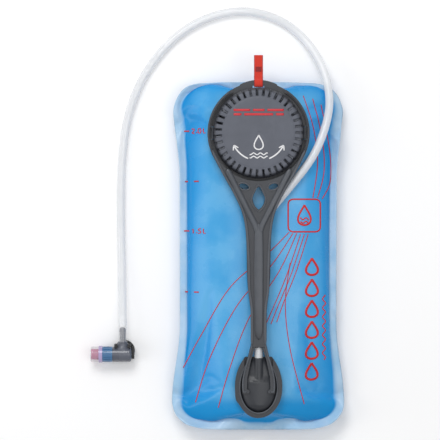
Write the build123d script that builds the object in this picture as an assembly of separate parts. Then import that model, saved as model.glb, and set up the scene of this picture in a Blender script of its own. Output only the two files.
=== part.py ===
from build123d import *
import math
import os

# A soft water reservoir lying on its back. X is its width, Y runs from its foot to its hang tab, and
# +Z points away from the surface it lies on. Sizes are millimetres.

# Film bag
film_t = 0.6
bag_top = 171.0
bag_bottom = -196.7
bag_corner_half = 91.5
bag_waist_half = 82.4
bag_bow = 12.0
bag_corner_r = 27.0
border = 8.5
border_foot = 10.5
seam_z = 18.0
front_rise = 24.0
side_run = 28.0
top_run = 1.5
foot_run = 16.0
land_corner_r = 44.0
dome_steps = 4

# Fill opening, cap and their threads
cap_y = 115.5
neck_bore_r = 35.5
neck_wall = 2.7
neck_height = 13.0
neck_flange_r = 45.0
flange_t = 1.6
thread_gap = 0.4
cap_r = 47.3
cap_skirt = 2.8
cap_top_t = 2.3
cap_notches = 39
notch_w = 2.2
notch_depth = 2.6
notch_reach = 8.5
seal_t = 1.2
seal_w = 2.5
lug_half = 6.0
lug_t = 2.6
lug_lip = 1.0

# Handle: collar, arms, spine, fork and hang tab
collar_r = 53.3
collar_wall = 3.0
collar_plate_t = 2.2
collar_wall_h = 8.2
collar_gap_from = 58.0
collar_gap_to = 122.0
handle_lift = 10.2
handle_top_t = 2.4
handle_side_t = 2.2
arm_half = 50.0
arm_y = 98.0
spine_half = 8.4
spine_foot_y = -108.0
fork_half = 14.9
fork_leg = 4.8
hook_reach = 4.8
tab_half = 19.7
tab_bar = 6.0
tab_slot = 3.2
tab_slot_half = 6.2
tab_t = 2.8
tab_arch = 5.0
strap_w = 9.3
strap_t = 1.2
strap_length = 23.0
strap_gap = 0.3

# Outlet port
port_y = -150.5
port_half = 24.6
port_top_half = 14.0
port_head = 32.5
port_foot = 31.0
port_rim = 5.5
port_rim_h = 7.9
port_plate_t = 1.0
port_weld_r = 19.0
boss_half = 8.0
boss_head_y = -142.0
boss_length = 20.0
passage_r = 2.4
passage_y = -154.0
bezel_w = 2.4
bezel_t = 3.2

# Hose and the barbs inside it
hose_r = 4.3
hose_bore_r = 3.2
hose_z = 49.0
barb_step = 0.6
barb_length = 15.0
o_ring_t = 0.9
fit_gap = 0.1
skin_gap = 0.3
hose_room_gap = 1.3

# Bite valve: the stem runs along Y and the barrel along X
stem_x = -143.0
stem_z = 14.0
hose_end_y = -103.7
stem_r = 3.1
stem_bore_r = 1.8
stem_flange_r = 5.0
stem_flange_t = 1.4
barrel_y = -117.0
barrel_r = 8.1
barrel_bore_r = 6.1
barrel_open_x = -153.5
barrel_closed_x = -133.6
barrel_end_t = 3.0
neck_cone_r = 5.8
sleeve_r = 8.2
sleeve_length = 10.6
sleeve_ribs = 18
ring_r = 8.9
ring_length = 3.8
mouth_r = 8.05
mouth_length = 8.8
core_step = 0.5
spindle_wall = 1.8
clip_x = -141.5
clip_y = -113.5
clip_r = 11.0
clip_floor = 0.2
clip_cover_t = 1.0
clip_t = 4.3
magnet_r = 7.4
magnet_t = 2.8
claw_half = 1.8
claw_reach = 3.4

# The hose's route, from the port to the bite valve
hose_route = [
    (0, boss_head_y, hose_z),
    (0, -96, hose_z),
    (0, -36, 49.5),
    (1, 6, 49.2),
    (10.5, 33, 49.2),
    (31, 57, 48.2),
    (57.5, 90, 46.6),
    (70.5, 122, 41.5),
    (76, 150, 31),
    (70, 183, 19),
    (53, 214, 8),
    (24, 238, 4.6),
    (-15, 248, 4.6),
    (-55, 240, 4.6),
    (-92, 217, 4.6),
    (-121, 180, 4.6),
    (-138, 138, 4.6),
    (-144.5, 92, 4.6),
    (-145.5, 30, 4.6),
    (-144, -33, 5.4),
    (stem_x, -76, stem_z),
    (stem_x, hose_end_y, stem_z),
]

# Heights and radii worked out from the sizes above
film_z = seam_z + front_rise
plate_z = film_z + flange_t
plate_top = plate_z + collar_plate_t
neck_top = film_z + neck_height
neck_r = neck_bore_r + neck_wall
thread_r = neck_r + thread_gap
shell_z = neck_top + seal_t
skirt_z = plate_top + 1.2
handle_z = plate_z + handle_lift
spindle_r = barrel_bore_r - fit_gap
spindle_bore_r = spindle_r - spindle_wall
core_r = barrel_bore_r - core_step


def ring(outer, inner, z, height, x=0.0, y=0.0):
    """A flat ring about a vertical axis."""
    disc = Cylinder(outer, height, align=(Align.CENTER, Align.CENTER, Align.MIN))
    hole = Cylinder(inner, height, align=(Align.CENTER, Align.CENTER, Align.MIN))
    return Pos(x, y, z) * (disc - hole)


def slab(x0, x1, y0, y1, z0, z1):
    """A box between two corners."""
    box = Box(x1 - x0, y1 - y0, z1 - z0)
    return Pos((x0 + x1) / 2, (y0 + y1) / 2, (z0 + z1) / 2) * box


def along_x(radius, x0, x1, y=barrel_y, z=stem_z):
    """A cylinder from x0 to x1."""
    return Pos((x0 + x1) / 2, y, z) * Rot(0, 90, 0) * Cylinder(radius, x1 - x0)


def along_y(radius, y0, y1, x=stem_x, z=stem_z):
    """A cylinder from y0 to y1."""
    return Pos(x, (y0 + y1) / 2, z) * Rot(90, 0, 0) * Cylinder(radius, y1 - y0)


def cone_y(r0, r1, y0, y1, x=stem_x, z=stem_z):
    """A cone whose radius is r0 at y0 and r1 at y1."""
    turned = Rot(-90, 0, 0) * Cone(r0, r1, y1 - y0)
    return Pos(x, (y0 + y1) / 2, z) * turned


def hose_line():
    """The hose's centreline: straight runs joined by arcs as large as the runs allow."""
    points = [Vector(*p) for p in hose_route]
    radii = []
    for a, b, c in zip(points, points[1:], points[2:]):
        half_turn = math.radians((b - a).get_angle(c - b)) / 2
        shorter = min((b - a).length, (c - b).length)
        radii.append(0.45 * shorter / math.tan(half_turn))
    print("hose radii", [round(r) for r in radii])
    return FilletPolyline(*points, radius=radii)


def hose_rod(line, radius):
    """A round rod of this radius along the hose's centreline."""
    start = Plane(origin=line @ 0, z_dir=line % 0)
    return sweep(start * Circle(radius), path=line)


def bag_outline():
    """The film's outer edge: four shallow arcs with round corners, drawn in at the waist."""
    head = bag_top - bag_bow
    foot = bag_bottom + bag_bow * 0.8
    middle = (head + foot) / 2
    side = bag_corner_half
    edges = [
        ThreePointArc((-side, head), (0, bag_top), (side, head)),
        ThreePointArc((side, head), (bag_waist_half, middle), (side, foot)),
        ThreePointArc((side, foot), (0, bag_bottom), (-side, foot)),
        ThreePointArc((-side, foot), (-bag_waist_half, middle), (-side, head)),
    ]
    face = make_face(edges)
    return fillet(face.vertices(), bag_corner_r)


def pillow(rise, inset):
    """Half of the puffed bag: sections that follow a quarter ellipse from the seam to the land."""
    half = bag_waist_half - border - inset
    head = bag_top - border - inset
    foot = bag_bottom + border_foot + inset
    corner = bag_corner_r - border - inset
    sections = []
    for step in range(dome_steps + 1):
        angle = math.radians(90 * step / dome_steps)
        shrink = 1 - math.cos(angle)
        y0 = foot + foot_run * shrink
        y1 = head - top_run * shrink
        width = 2 * (half - side_run * shrink)
        radius = corner + (land_corner_r - inset - corner) * shrink
        z = (rise - inset) * math.sin(angle)
        section = RectangleRounded(width, y1 - y0, radius)
        sections.append(Pos(0, (y0 + y1) / 2, z) * section)
    return loft(sections)


def film_half(rise):
    """One sheet of the bag, border and puffed middle, with its seam on z = 0."""
    border_ring = extrude(bag_outline(), film_t)
    outer = border_ring + pillow(rise, 0)
    return outer - pillow(rise, film_t)


def front_film():
    sheet = Pos(0, 0, seam_z) * film_half(front_rise)
    fill_hole = Pos(0, cap_y, film_z) * Cylinder(neck_bore_r, 4 * film_t)
    port_hole = Pos(0, passage_y, film_z) * Cylinder(passage_r + 1, 4 * film_t)
    return sheet - fill_hole - port_hole


def back_film():
    sheet = film_half(seam_z)
    return Pos(0, 0, seam_z) * mirror(sheet, about=Plane.XY)


def lug(side):
    """A latch lug beside the neck, with a lip that holds the collar down."""
    inner = neck_flange_r + 1.2
    outer = inner + lug_t
    top = plate_top + 0.9
    foot = slab(neck_bore_r + 4, outer, -lug_half, lug_half, film_z, plate_z)
    post = slab(inner, outer, -lug_half, lug_half, film_z, top)
    lip = slab(inner, outer + lug_lip, -lug_half, lug_half, plate_top + 0.2, top)
    both = Pos(0, cap_y, 0) * (foot + post + lip)
    return both if side > 0 else mirror(both, about=Plane.YZ)


def fill_neck():
    """The welded neck: a flange on the film, the tube the cap screws on, and two latch lugs."""
    flange = ring(neck_flange_r, neck_bore_r, film_z, flange_t, y=cap_y)
    tube = ring(neck_r, neck_bore_r, film_z, neck_height, y=cap_y)
    return flange + tube + lug(1) + lug(-1)


def cap_shell():
    """The cap's toothed outer shell."""
    height = neck_top + seal_t + cap_top_t - skirt_z
    shell = Cylinder(cap_r, height, align=(Align.CENTER, Align.CENTER, Align.MIN))
    shell = Pos(0, cap_y, skirt_z) * shell
    shell = chamfer(shell.edges().group_by(Axis.Z)[-1], 0.9)
    inside = Cylinder(cap_r - cap_skirt, shell_z - skirt_z,
                      align=(Align.CENTER, Align.CENTER, Align.MIN))
    shell -= Pos(0, cap_y, skirt_z) * inside
    tooth_gap = slab(cap_r - notch_depth, cap_r + 1, -notch_w / 2, notch_w / 2, skirt_z - 1, shell_z)
    face_gap = slab(cap_r - notch_reach, cap_r + 1, -notch_w / 2, notch_w / 2,
                    shell_z + cap_top_t - 1.1, shell_z + cap_top_t + 1)
    tooth_gap = tooth_gap & Cylinder(cap_r + 1, 400) - Cylinder(cap_r - 1.6, 400)
    gaps = []
    for k in range(cap_notches):
        turn = Pos(0, cap_y, 0) * Rot(0, 0, 90 + 360 * k / cap_notches)
        gaps += [turn * tooth_gap, turn * face_gap]
    return shell - gaps


def cap_thread_ring():
    """The threaded ring inside the cap; a gap stands for the thread's ridges."""
    outer = cap_r - cap_skirt
    return ring(outer, thread_r, skirt_z, shell_z - skirt_z, y=cap_y)


def cap_seal():
    return ring(neck_r - 0.1, neck_r - 0.1 - seal_w, neck_top, seal_t, y=cap_y)


def handle_outline(inset=0.0):
    """The arms and spine seen from the front: two smooth flanks that narrow towards the fork."""
    flank = [
        (arm_half, arm_y),
        (27, 54),
        (16.5, 30),
        (12.8, 4),
        (11, -48),
        (spine_half + 0.3, -66),
        (spine_half, spine_foot_y),
    ]
    flank = [(x - inset, y) for x, y in flank]
    back = [(-x, y) for x, y in reversed(flank)]
    top = Line(back[-1], flank[0])
    foot = Line(flank[-1], back[0])
    return make_face([top, Spline(*flank), foot, Spline(*back)])


def droplet():
    """The opening between the arms."""
    right = ThreePointArc((0, 35.5), (6.2, 45.5), (0, 59.5))
    return make_face([right, mirror(right, about=Plane.YZ)])


def crescents():
    """The two openings under the collar."""
    slot = Pos(15.2, 59.6) * Rot(0, 0, 18) * Ellipse(5, 2.7)
    return [slot, mirror(slot, about=Plane.YZ)]


def fork(port_plate_top):
    """The two legs that run from the spine into the port, each with a hook behind the boss."""
    z0 = port_plate_top + 1.6
    z1 = handle_z + handle_top_t - 0.6
    root = spine_foot_y + 3
    leg = [
        (3.0, root),
        (spine_half - 0.4, root),
        (11.5, port_y + port_head - 1),
        (fork_half + 1.6, port_y + 13),
        (fork_half + 2.2, port_y - 2),
        (fork_half + 1.8, port_y - 5),
        (fork_half - hook_reach, port_y - 5),
        (fork_half - hook_reach - 1, port_y - 2.6),
        (fork_half - fork_leg + 2.2, port_y - 0.6),
        (fork_half - fork_leg + 1.6, port_y + 12),
        (8.0, port_y + port_head - 3),
    ]
    right = extrude(Pos(0, 0, z0) * make_face(Polyline(*leg, close=True)), z1 - z0)
    return right + mirror(right, about=Plane.YZ)


def tab():
    """The hang tab: a plate over the bag's top edge, arched along its far side."""
    y0 = cap_y + collar_r - 9
    shoulder = bag_top - tab_arch
    face = make_face([
        Line((-tab_half, shoulder), (-tab_half, y0)),
        Line((-tab_half, y0), (tab_half, y0)),
        Line((tab_half, y0), (tab_half, shoulder)),
        ThreePointArc((tab_half, shoulder), (0, bag_top), (-tab_half, shoulder)),
    ])
    plate = extrude(Pos(0, 0, plate_z) * face, tab_t)
    return fillet(plate.edges().filter_by(Axis.Z).group_by(Axis.Y)[-1], 2)


def strap_slot():
    """The slot that the strap goes through, cut in the tab and the collar under it."""
    top = bag_top - tab_bar
    return slab(-tab_slot_half, tab_slot_half, top - tab_slot, top, 0, 90)


def hose_room():
    """What the handle leaves free for the hose: its foot, the fork's root and its way out."""
    side = hose_r + hose_room_gap
    roof = handle_z + 0.1
    rooms = [slab(-side, side, boss_head_y, spine_foot_y + 6, plate_z - 1, roof)]
    for a, b in zip(hose_route[3:6], hose_route[4:7]):
        angle = math.degrees(math.atan2(b[1] - a[1], b[0] - a[0]))
        length = math.hypot(b[0] - a[0], b[1] - a[1]) + side
        room = Rot(0, 0, angle) * Box(length, 2 * side, handle_z - plate_z + 1)
        rooms.append(Pos((a[0] + b[0]) / 2, (a[1] + b[1]) / 2, (handle_z + plate_z - 1) / 2) * room)
    return rooms


def handle_frame():
    """One moulding: collar round the cap, arms, hose channel, fork and hang tab."""
    collar = ring(collar_r, thread_r, plate_z, collar_plate_t, y=cap_y)
    collar -= ring(collar_r - collar_wall, thread_r - 1, plate_top, 1, y=cap_y)
    wall = ring(collar_r, collar_r - collar_wall, plate_z, collar_wall_h, y=cap_y)
    reach = 2 * collar_r
    a0 = math.radians(collar_gap_from)
    a1 = math.radians(collar_gap_to)
    gap = make_face(Polyline(
        (0, 0),
        (reach * math.cos(a0), reach * math.sin(a0)),
        (reach * math.cos(a1), reach * math.sin(a1)),
        close=True,
    ))
    wall -= extrude(Pos(0, cap_y, plate_top) * gap, 60)
    outline = handle_outline()
    cap_room = Pos(0, cap_y, 0) * Cylinder(collar_r - collar_wall, 300)
    top = extrude(Pos(0, 0, handle_z) * outline, handle_top_t)
    top = chamfer(top.edges().group_by(Axis.Z)[-1], 0.8)
    sides = extrude(Pos(0, 0, plate_z + skin_gap) * outline, handle_z - plate_z)
    sides -= extrude(Pos(0, 0, plate_z) * handle_outline(handle_side_t), handle_z - plate_z)
    arms = top + sides - cap_room
    for hole in [droplet(), *crescents()]:
        arms -= extrude(Pos(0, 0, plate_z) * hole, 40)
    frame = collar + wall + arms + tab()
    frame += fork(film_z + flange_t + port_plate_t)
    inner_lug = neck_flange_r + 1.2
    for side in (1, -1):
        window = slab(inner_lug - 0.4, inner_lug + lug_t + 0.4, -lug_half - 1, lug_half + 1,
                      plate_z - 1, plate_top + 0.1)
        window = Pos(0, cap_y, 0) * window
        frame -= window if side > 0 else mirror(window, about=Plane.YZ)
    return frame - strap_slot() - hose_room()


def strap_wrap():
    """The webbing round the tab's bar: its front, its back and the turn through the slot."""
    half = strap_w / 2
    y1 = bag_top + skin_gap + strap_t
    y0 = bag_top - tab_bar - skin_gap - strap_t
    z0 = plate_z - skin_gap - strap_t
    z1 = plate_z + tab_t + skin_gap + strap_t
    outside = slab(-half, half, y0, y1, z0, z1)
    inside = slab(-half, half, y0 + strap_t, y1 - strap_t, z0 + strap_t, z1 - strap_t)
    return outside - inside


def strap_hinge():
    """Where the free end of the strap bends: Y and Z of the line it swings about."""
    y = bag_top + skin_gap + 2 * strap_t + strap_gap
    return y, plate_z + tab_t / 2


def strap_tail():
    """The free end: two layers of webbing sewn together, round where it bends."""
    y, z = strap_hinge()
    half = strap_w / 2
    flat = slab(-half, half, y, y + strap_length, z - strap_t, z + strap_t)
    turn = Pos(0, y, z) * Rot(0, 90, 0) * Cylinder(strap_t, strap_w)
    return flat + turn


def port_outline(grow=0.0):
    """The port seen from the front: flat head, round flanks and an elliptical foot."""
    half = port_half + grow
    head = port_y + port_head + grow
    top_half = port_top_half + grow
    shoulder = (half - 2.6, port_y + port_head * 0.55)
    foot = [
        (half * math.cos(math.radians(a)), port_y + (port_foot + grow) * math.sin(math.radians(a)))
        for a in (0, -30, -60, -90, -120, -150, -180)
    ]
    edges = [
        Line((-top_half, head), (top_half, head)),
        ThreePointArc((top_half, head), shoulder, (half, port_y)),
        Spline(*foot, tangents=[(0, -1), (0, 1)]),
        ThreePointArc((-half, port_y), (-shoulder[0], shoulder[1]), (-top_half, head)),
    ]
    return make_face(edges)


def port_base():
    """The outlet welded to the film: a plate with a rim, and the boss that turns the water."""
    z0 = plate_z
    top = z0 + port_plate_t
    weld = Pos(0, port_y, film_z + flange_t / 2) * Cylinder(port_weld_r, flange_t)
    plate = extrude(Pos(0, 0, z0) * port_outline(), port_plate_t)
    rim = extrude(Pos(0, 0, z0) * port_outline(), port_rim_h)
    rim -= extrude(Pos(0, 0, z0) * port_outline(-port_rim), port_rim_h + 1)
    rim -= slab(-fork_half, fork_half, port_y + port_head - 15, port_y + port_head + 5, top, top + 40)
    boss = slab(-boss_half, boss_half, boss_head_y - boss_length, boss_head_y,
                z0, hose_z + hose_r + 1.8)
    boss = fillet(boss.edges().filter_by(Axis.Y).group_by(Axis.Z)[-1], 4)
    base = weld + plate + rim + boss
    base -= along_y(stem_r + fit_gap, boss_head_y - 12, boss_head_y + 1, x=0, z=hose_z)
    base -= along_y(passage_r, passage_y, boss_head_y, x=0, z=hose_z)
    down = Cylinder(passage_r, hose_z - film_z + 1, align=(Align.CENTER, Align.CENTER, Align.MIN))
    base -= Pos(0, passage_y - 1, film_z - 1) * down
    return base


def port_bezel():
    """The thin raised lip inside the port's rim."""
    z0 = plate_z + port_plate_t
    gap = port_rim + 0.2
    lip = extrude(Pos(0, 0, z0) * port_outline(-gap), bezel_t)
    lip -= extrude(Pos(0, 0, z0) * port_outline(-gap - bezel_w), bezel_t)
    lip -= slab(-port_half, port_half, port_y - 8, port_y + 2 * port_head, z0, z0 + 20)
    return lip


def barb(y_root, y_tip, x, z):
    """A hose barb from its root to its tip, with one ridge near the tip."""
    ridge = y_tip - 4.5
    cone = cone_y(hose_bore_r + barb_step, hose_bore_r - 0.5, ridge, y_tip, x=x, z=z)
    return along_y(hose_bore_r, y_root, ridge, x=x, z=z) + cone


def port_barb():
    """The barb that the hose pushes onto, held in the boss with an O-ring groove."""
    tip = boss_head_y + barb_length
    shank = along_y(stem_r, boss_head_y - 11.5, boss_head_y, x=0, z=hose_z)
    body = shank + barb(boss_head_y, tip, 0, hose_z)
    groove = along_y(stem_r + 1, boss_head_y - 7, boss_head_y - 5.5, x=0, z=hose_z)
    groove -= along_y(stem_r - o_ring_t + 0.2, boss_head_y - 7, boss_head_y - 5.5, x=0, z=hose_z)
    bore = along_y(stem_bore_r, boss_head_y - 20, tip + 1, x=0, z=hose_z)
    return body - groove - bore


def port_o_ring():
    outer = along_y(stem_r + fit_gap, boss_head_y - 6.9, boss_head_y - 5.6, x=0, z=hose_z)
    inner = along_y(stem_r - o_ring_t + 0.2, boss_head_y - 7, boss_head_y - 5.5, x=0, z=hose_z)
    return outer - inner


def hose(line):
    """The drinking hose."""
    outer = hose_rod(line, hose_r)
    tube = outer - hose_rod(line, hose_bore_r)
    expected = math.pi * (hose_r**2 - hose_bore_r**2) * line.length
    print("hose length", round(line.length, 1), "volume share", round(tube.volume / expected, 4))
    return tube


def valve_stem():
    """The swivel stem: a barb in the hose, a flange, and a grooved shank in the elbow."""
    tip = hose_end_y + barb_length
    flange_y = hose_end_y - stem_flange_t
    shank_y = barrel_y + barrel_bore_r + 0.2
    body = barb(hose_end_y, tip, stem_x, stem_z)
    body += along_y(stem_flange_r, flange_y, hose_end_y)
    body += along_y(stem_r, shank_y, flange_y)
    groove = along_y(stem_r + 1, flange_y - 3.2, flange_y - 1.8)
    groove -= along_y(stem_r - o_ring_t + 0.2, flange_y - 3.2, flange_y - 1.8)
    bore = along_y(stem_bore_r, shank_y - 1, tip + 1)
    return body - groove - bore


def swivel_o_ring():
    flange_y = hose_end_y - stem_flange_t
    ring_y = flange_y - 1.9
    outer = along_y(stem_r + fit_gap / 2, ring_y - 1.2, ring_y)
    return outer - along_y(stem_r - o_ring_t + 0.2, ring_y - 1.2, ring_y)


def elbow_housing():
    """The elbow: a neck that takes the stem and a barrel that takes the shut-off spindle."""
    neck_y = hose_end_y - stem_flange_t - skin_gap
    neck = cone_y(barrel_r - 0.6, neck_cone_r, barrel_y, neck_y)
    barrel = along_x(barrel_r, barrel_open_x, barrel_closed_x)
    barrel = fillet(barrel.edges().group_by(Axis.X)[-1], 2.6)
    body = neck + barrel
    body -= along_x(barrel_bore_r, barrel_open_x - 1, barrel_closed_x - barrel_end_t)
    body -= along_y(stem_r + fit_gap, barrel_y, neck_y + 1)
    return body


def shutoff_sleeve():
    """The ribbed sleeve that is twisted to open and shut the valve."""
    x1 = barrel_open_x - skin_gap
    x0 = x1 - sleeve_length
    sleeve = along_x(sleeve_r, x0, x1) - along_x(barrel_bore_r, x0, x1)
    rib_gap = slab(x0 + 1.6, x1 - 1.6, -0.55, 0.55, sleeve_r - 0.5, sleeve_r + 1)
    turns = [Pos(0, barrel_y, stem_z) * Rot(360 * k / sleeve_ribs, 0, 0) for k in range(sleeve_ribs)]
    return sleeve - [turn * rib_gap for turn in turns]


def valve_spindle():
    """The hollow spindle that turns in the barrel; its side hole meets the stem when open."""
    x1 = barrel_closed_x - barrel_end_t - skin_gap
    x0 = barrel_open_x - skin_gap - sleeve_length
    tube = along_x(spindle_r, x0, x1) - along_x(spindle_bore_r, x0 - 1, x1 - 1.5)
    tube -= along_y(passage_r, barrel_y, barrel_y + barrel_bore_r + 2)
    groove_x = barrel_open_x + 2
    groove = along_x(spindle_r + 1, groove_x, groove_x + 1.5)
    groove -= along_x(spindle_r - o_ring_t, groove_x, groove_x + 1.5)
    return tube - groove


def spindle_o_ring():
    x0 = barrel_open_x + 2.1
    return along_x(spindle_r + fit_gap / 2, x0, x0 + 1.3) - along_x(spindle_r - o_ring_t, x0, x0 + 1.3)


def mouth_x():
    """Where the mouthpiece's root is."""
    return barrel_open_x - skin_gap - sleeve_length - ring_length


def retaining_ring():
    """The flange that holds the mouthpiece on the sleeve."""
    x0 = mouth_x()
    return along_x(ring_r, x0, x0 + ring_length) - along_x(core_r + 0.1, x0, x0 + ring_length)


def bite_diaphragm():
    """The soft core with a slit that opens when bitten."""
    x0 = mouth_x()
    x1 = x0 + ring_length - 0.2
    tip = x0 - mouth_length + 1
    core = along_x(core_r, tip, x1) - along_x(spindle_bore_r, tip + 2.4, x1)
    slit = slab(tip - 1, tip + 3, barrel_y - 3, barrel_y + 3, stem_z - 0.15, stem_z + 0.15)
    return core - slit


def mouthpiece():
    """The clear soft sheath round the core, with a slightly narrower lip."""
    x0 = mouth_x()
    sheath = along_x(mouth_r, x0 - mouth_length, x0)
    sheath = fillet(sheath.edges().group_by(Axis.X)[0], 1.2)
    return sheath - along_x(core_r + 0.1, x0 - mouth_length - 1, x0 + 1)


def magnet_clip():
    """The clip under the elbow: a round magnet case with two claws and an end stop."""
    z0 = clip_floor + clip_cover_t
    z1 = z0 + clip_t
    case = Pos(clip_x, clip_y, (z0 + z1) / 2) * Cylinder(clip_r, clip_t)
    case = fillet(case.edges().group_by(Axis.Z)[-1], 1.0)
    case -= Pos(clip_x, clip_y, z0 + magnet_t / 2) * Cylinder(magnet_r + fit_gap, magnet_t)
    claw_y = hose_end_y - 4.2
    top = stem_z + neck_cone_r + 2.2
    room = cone_y(barrel_r - 0.6 + skin_gap, neck_cone_r + skin_gap, barrel_y, hose_end_y - stem_flange_t)
    for side in (1, -1):
        inner = stem_x + side * (neck_cone_r + 0.4)
        outer = inner + side * 2.4
        post = slab(min(inner, outer), max(inner, outer), claw_y - claw_half, claw_y + claw_half,
                    z1 - 0.5, top)
        tip = outer - side * claw_reach
        lip = slab(min(tip, outer), max(tip, outer), claw_y - claw_half, claw_y + claw_half,
                   top - 1.8, top)
        case += post + lip
    stop_x = barrel_closed_x + skin_gap
    case += slab(stop_x, stop_x + 2.4, barrel_y - 4.8, barrel_y + 8, z1 - 1.6, stem_z + 2)
    case -= room
    case -= along_x(barrel_r + skin_gap, barrel_open_x - 5, barrel_closed_x + 0.2)
    return case


def magnet_disc():
    z0 = clip_floor + clip_cover_t
    return Pos(clip_x, clip_y, z0 + magnet_t / 2) * Cylinder(magnet_r, magnet_t - 0.1)


def magnet_cover():
    """The lid on the underside of the magnet case."""
    return Pos(clip_x, clip_y, clip_floor + clip_cover_t / 2) * Cylinder(clip_r - 1, clip_cover_t)


def write(name, shape):
    """One STEP file for each node."""
    shape.label = name
    export_step(shape, os.path.join("parts", name + ".step"))


def main():
    os.makedirs("parts", exist_ok=True)
    line = hose_line()
    nodes = {
        "front_film": front_film(),
        "back_film": back_film(),
        "fill_neck": fill_neck(),
        "cap_shell": cap_shell(),
        "cap_thread_ring": cap_thread_ring(),
        "cap_seal": cap_seal(),
        "handle_frame": handle_frame(),
        "strap_wrap": strap_wrap(),
        "strap_tail": strap_tail(),
        "port_base": port_base(),
        "port_bezel": port_bezel(),
        "port_barb": port_barb(),
        "port_o_ring": port_o_ring(),
        "hose": hose(line),
        "valve_stem": valve_stem(),
        "swivel_o_ring": swivel_o_ring(),
        "elbow_housing": elbow_housing(),
        "shutoff_sleeve": shutoff_sleeve(),
        "valve_spindle": valve_spindle(),
        "spindle_o_ring": spindle_o_ring(),
        "retaining_ring": retaining_ring(),
        "bite_diaphragm": bite_diaphragm(),
        "mouthpiece": mouthpiece(),
        "magnet_clip": magnet_clip(),
        "magnet_disc": magnet_disc(),
        "magnet_cover": magnet_cover(),
    }
    for name, shape in nodes.items():
        write(name, shape)


main()
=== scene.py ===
import math
import bmesh
import bpy
import numpy as np
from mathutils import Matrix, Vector


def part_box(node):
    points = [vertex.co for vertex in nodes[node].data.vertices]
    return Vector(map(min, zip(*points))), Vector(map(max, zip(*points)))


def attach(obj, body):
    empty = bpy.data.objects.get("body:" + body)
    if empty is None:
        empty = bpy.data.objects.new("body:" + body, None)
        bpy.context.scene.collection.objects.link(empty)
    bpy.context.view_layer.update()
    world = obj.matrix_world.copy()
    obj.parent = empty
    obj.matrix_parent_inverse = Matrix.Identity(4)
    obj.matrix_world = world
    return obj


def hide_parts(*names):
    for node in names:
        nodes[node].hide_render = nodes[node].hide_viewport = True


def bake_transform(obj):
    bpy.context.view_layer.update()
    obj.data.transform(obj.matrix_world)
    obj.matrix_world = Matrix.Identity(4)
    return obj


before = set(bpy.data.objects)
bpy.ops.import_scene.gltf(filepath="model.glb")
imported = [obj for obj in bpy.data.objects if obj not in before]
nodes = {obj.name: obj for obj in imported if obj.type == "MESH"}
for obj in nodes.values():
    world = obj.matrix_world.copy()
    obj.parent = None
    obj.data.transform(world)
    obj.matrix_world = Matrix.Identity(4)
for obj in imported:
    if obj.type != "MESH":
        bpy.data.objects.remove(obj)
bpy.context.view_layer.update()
mm = 0.001

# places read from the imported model
capLow, capHigh = (np.array(c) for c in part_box("cap_shell"))
capSpot, capRadius = (capLow + capHigh) / 2, float(capHigh[0] - capLow[0]) / 2
seamZ = float(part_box("front_film")[0][2])
landZ = float(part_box("fill_neck")[0][2])
portLow, portHigh = (np.array(c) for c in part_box("port_base"))
portY = float(portLow[1] + portHigh[1]) / 2
forkTop = float(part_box("handle_frame")[1][2])
strapLow, strapHigh = (np.array(c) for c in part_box("strap_tail"))
wrapLow, wrapHigh = (np.array(c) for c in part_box("strap_wrap"))
bothSides = ((1, "Right"), (-1, "Left"))


def faceGrid(rows, cols, closeCols=False, closeRows=False):
    # corner numbers of the quads between rows x cols points, wrapping round either way if asked
    a = np.arange(rows * cols).reshape(rows, cols)
    a = np.concatenate([a, a[:1]], axis=0) if closeRows else a
    a = np.concatenate([a, a[:, :1]], axis=1) if closeCols else a
    return np.stack([a[:-1, :-1], a[:-1, 1:], a[1:, 1:], a[1:, :-1]], axis=-1).reshape(-1, 4)


def meshPiece(name, points, faces, material):
    # points n x 3 in metres and faces as rows of corner numbers become one smooth object at the origin
    mesh = bpy.data.meshes.new(name)
    mesh.from_pydata(points.reshape(-1, 3).tolist(), [], faces if isinstance(faces, list) else faces.tolist())
    mesh.validate()
    mesh.polygons.foreach_set("use_smooth", np.full(len(mesh.polygons), True))
    mesh.materials.append(material)
    obj = bpy.data.objects.new(name, mesh)
    bpy.context.scene.collection.objects.link(obj)
    return obj


def pointsOf(mesh):
    # the mesh's points as an n x 3 array
    spots = np.empty(len(mesh.vertices) * 3)
    mesh.vertices.foreach_get("co", spots)
    return spots.reshape(-1, 3)


def closeUp(obj):
    # points that coincide, as at a pole or a pointed end, become one, and the faces turn outwards
    work = bmesh.new()
    work.from_mesh(obj.data)
    bmesh.ops.remove_doubles(work, verts=work.verts, dist=2e-6)
    bmesh.ops.recalc_face_normals(work, faces=work.faces)
    work.to_mesh(obj.data)
    work.free()
    return obj


def setAttribute(obj, name, values):
    # one number for each point, which a material reads by name
    a = obj.data.attributes.new(name, "FLOAT", "POINT")
    a.data.foreach_set("value", np.asarray(values, np.float32).ravel())


def belong(obj, body, slotName, *replaced):
    # the piece moves with a body and stands for the nodes named, which are hidden; slotName is not used
    if replaced:
        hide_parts(*replaced)
    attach(obj, body)
    return obj


def blendIn(low, high, x):
    # 0 below low, 1 above high, and a smooth s-curve between
    t = np.clip((x - low) / (high - low), 0, 1)
    return t * t * (3 - 2 * t)


def softMin(a, b, k):
    # the lower of a and b, rounded over k where they meet
    h = np.clip(0.5 + 0.5 * (b - a) / k, 0, 1)
    return b * (1 - h) + a * h - k * h * (1 - h)


def smoothPath(knots, count, closed=False):
    # a Catmull-Rom curve through the knots: on each span, the cubic with the chord slopes at its ends
    p = np.asarray(knots, float)
    n = len(p)
    spans = n if closed else n - 1
    t = np.linspace(0, spans, count, endpoint=not closed)
    i = np.minimum(t.astype(int), spans - 1)
    f = (t - i)[:, None]
    q = (lambda k: p[k % n]) if closed else (lambda k: p[np.clip(k, 0, n - 1)])
    a, b, c, d = q(i - 1), q(i), q(i + 1), q(i + 2)
    return 0.5 * (2 * b + (c - a) * f + (2 * a - 5 * b + 4 * c - d) * f**2 + (3 * b - 3 * c + d - a) * f**3)


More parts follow.
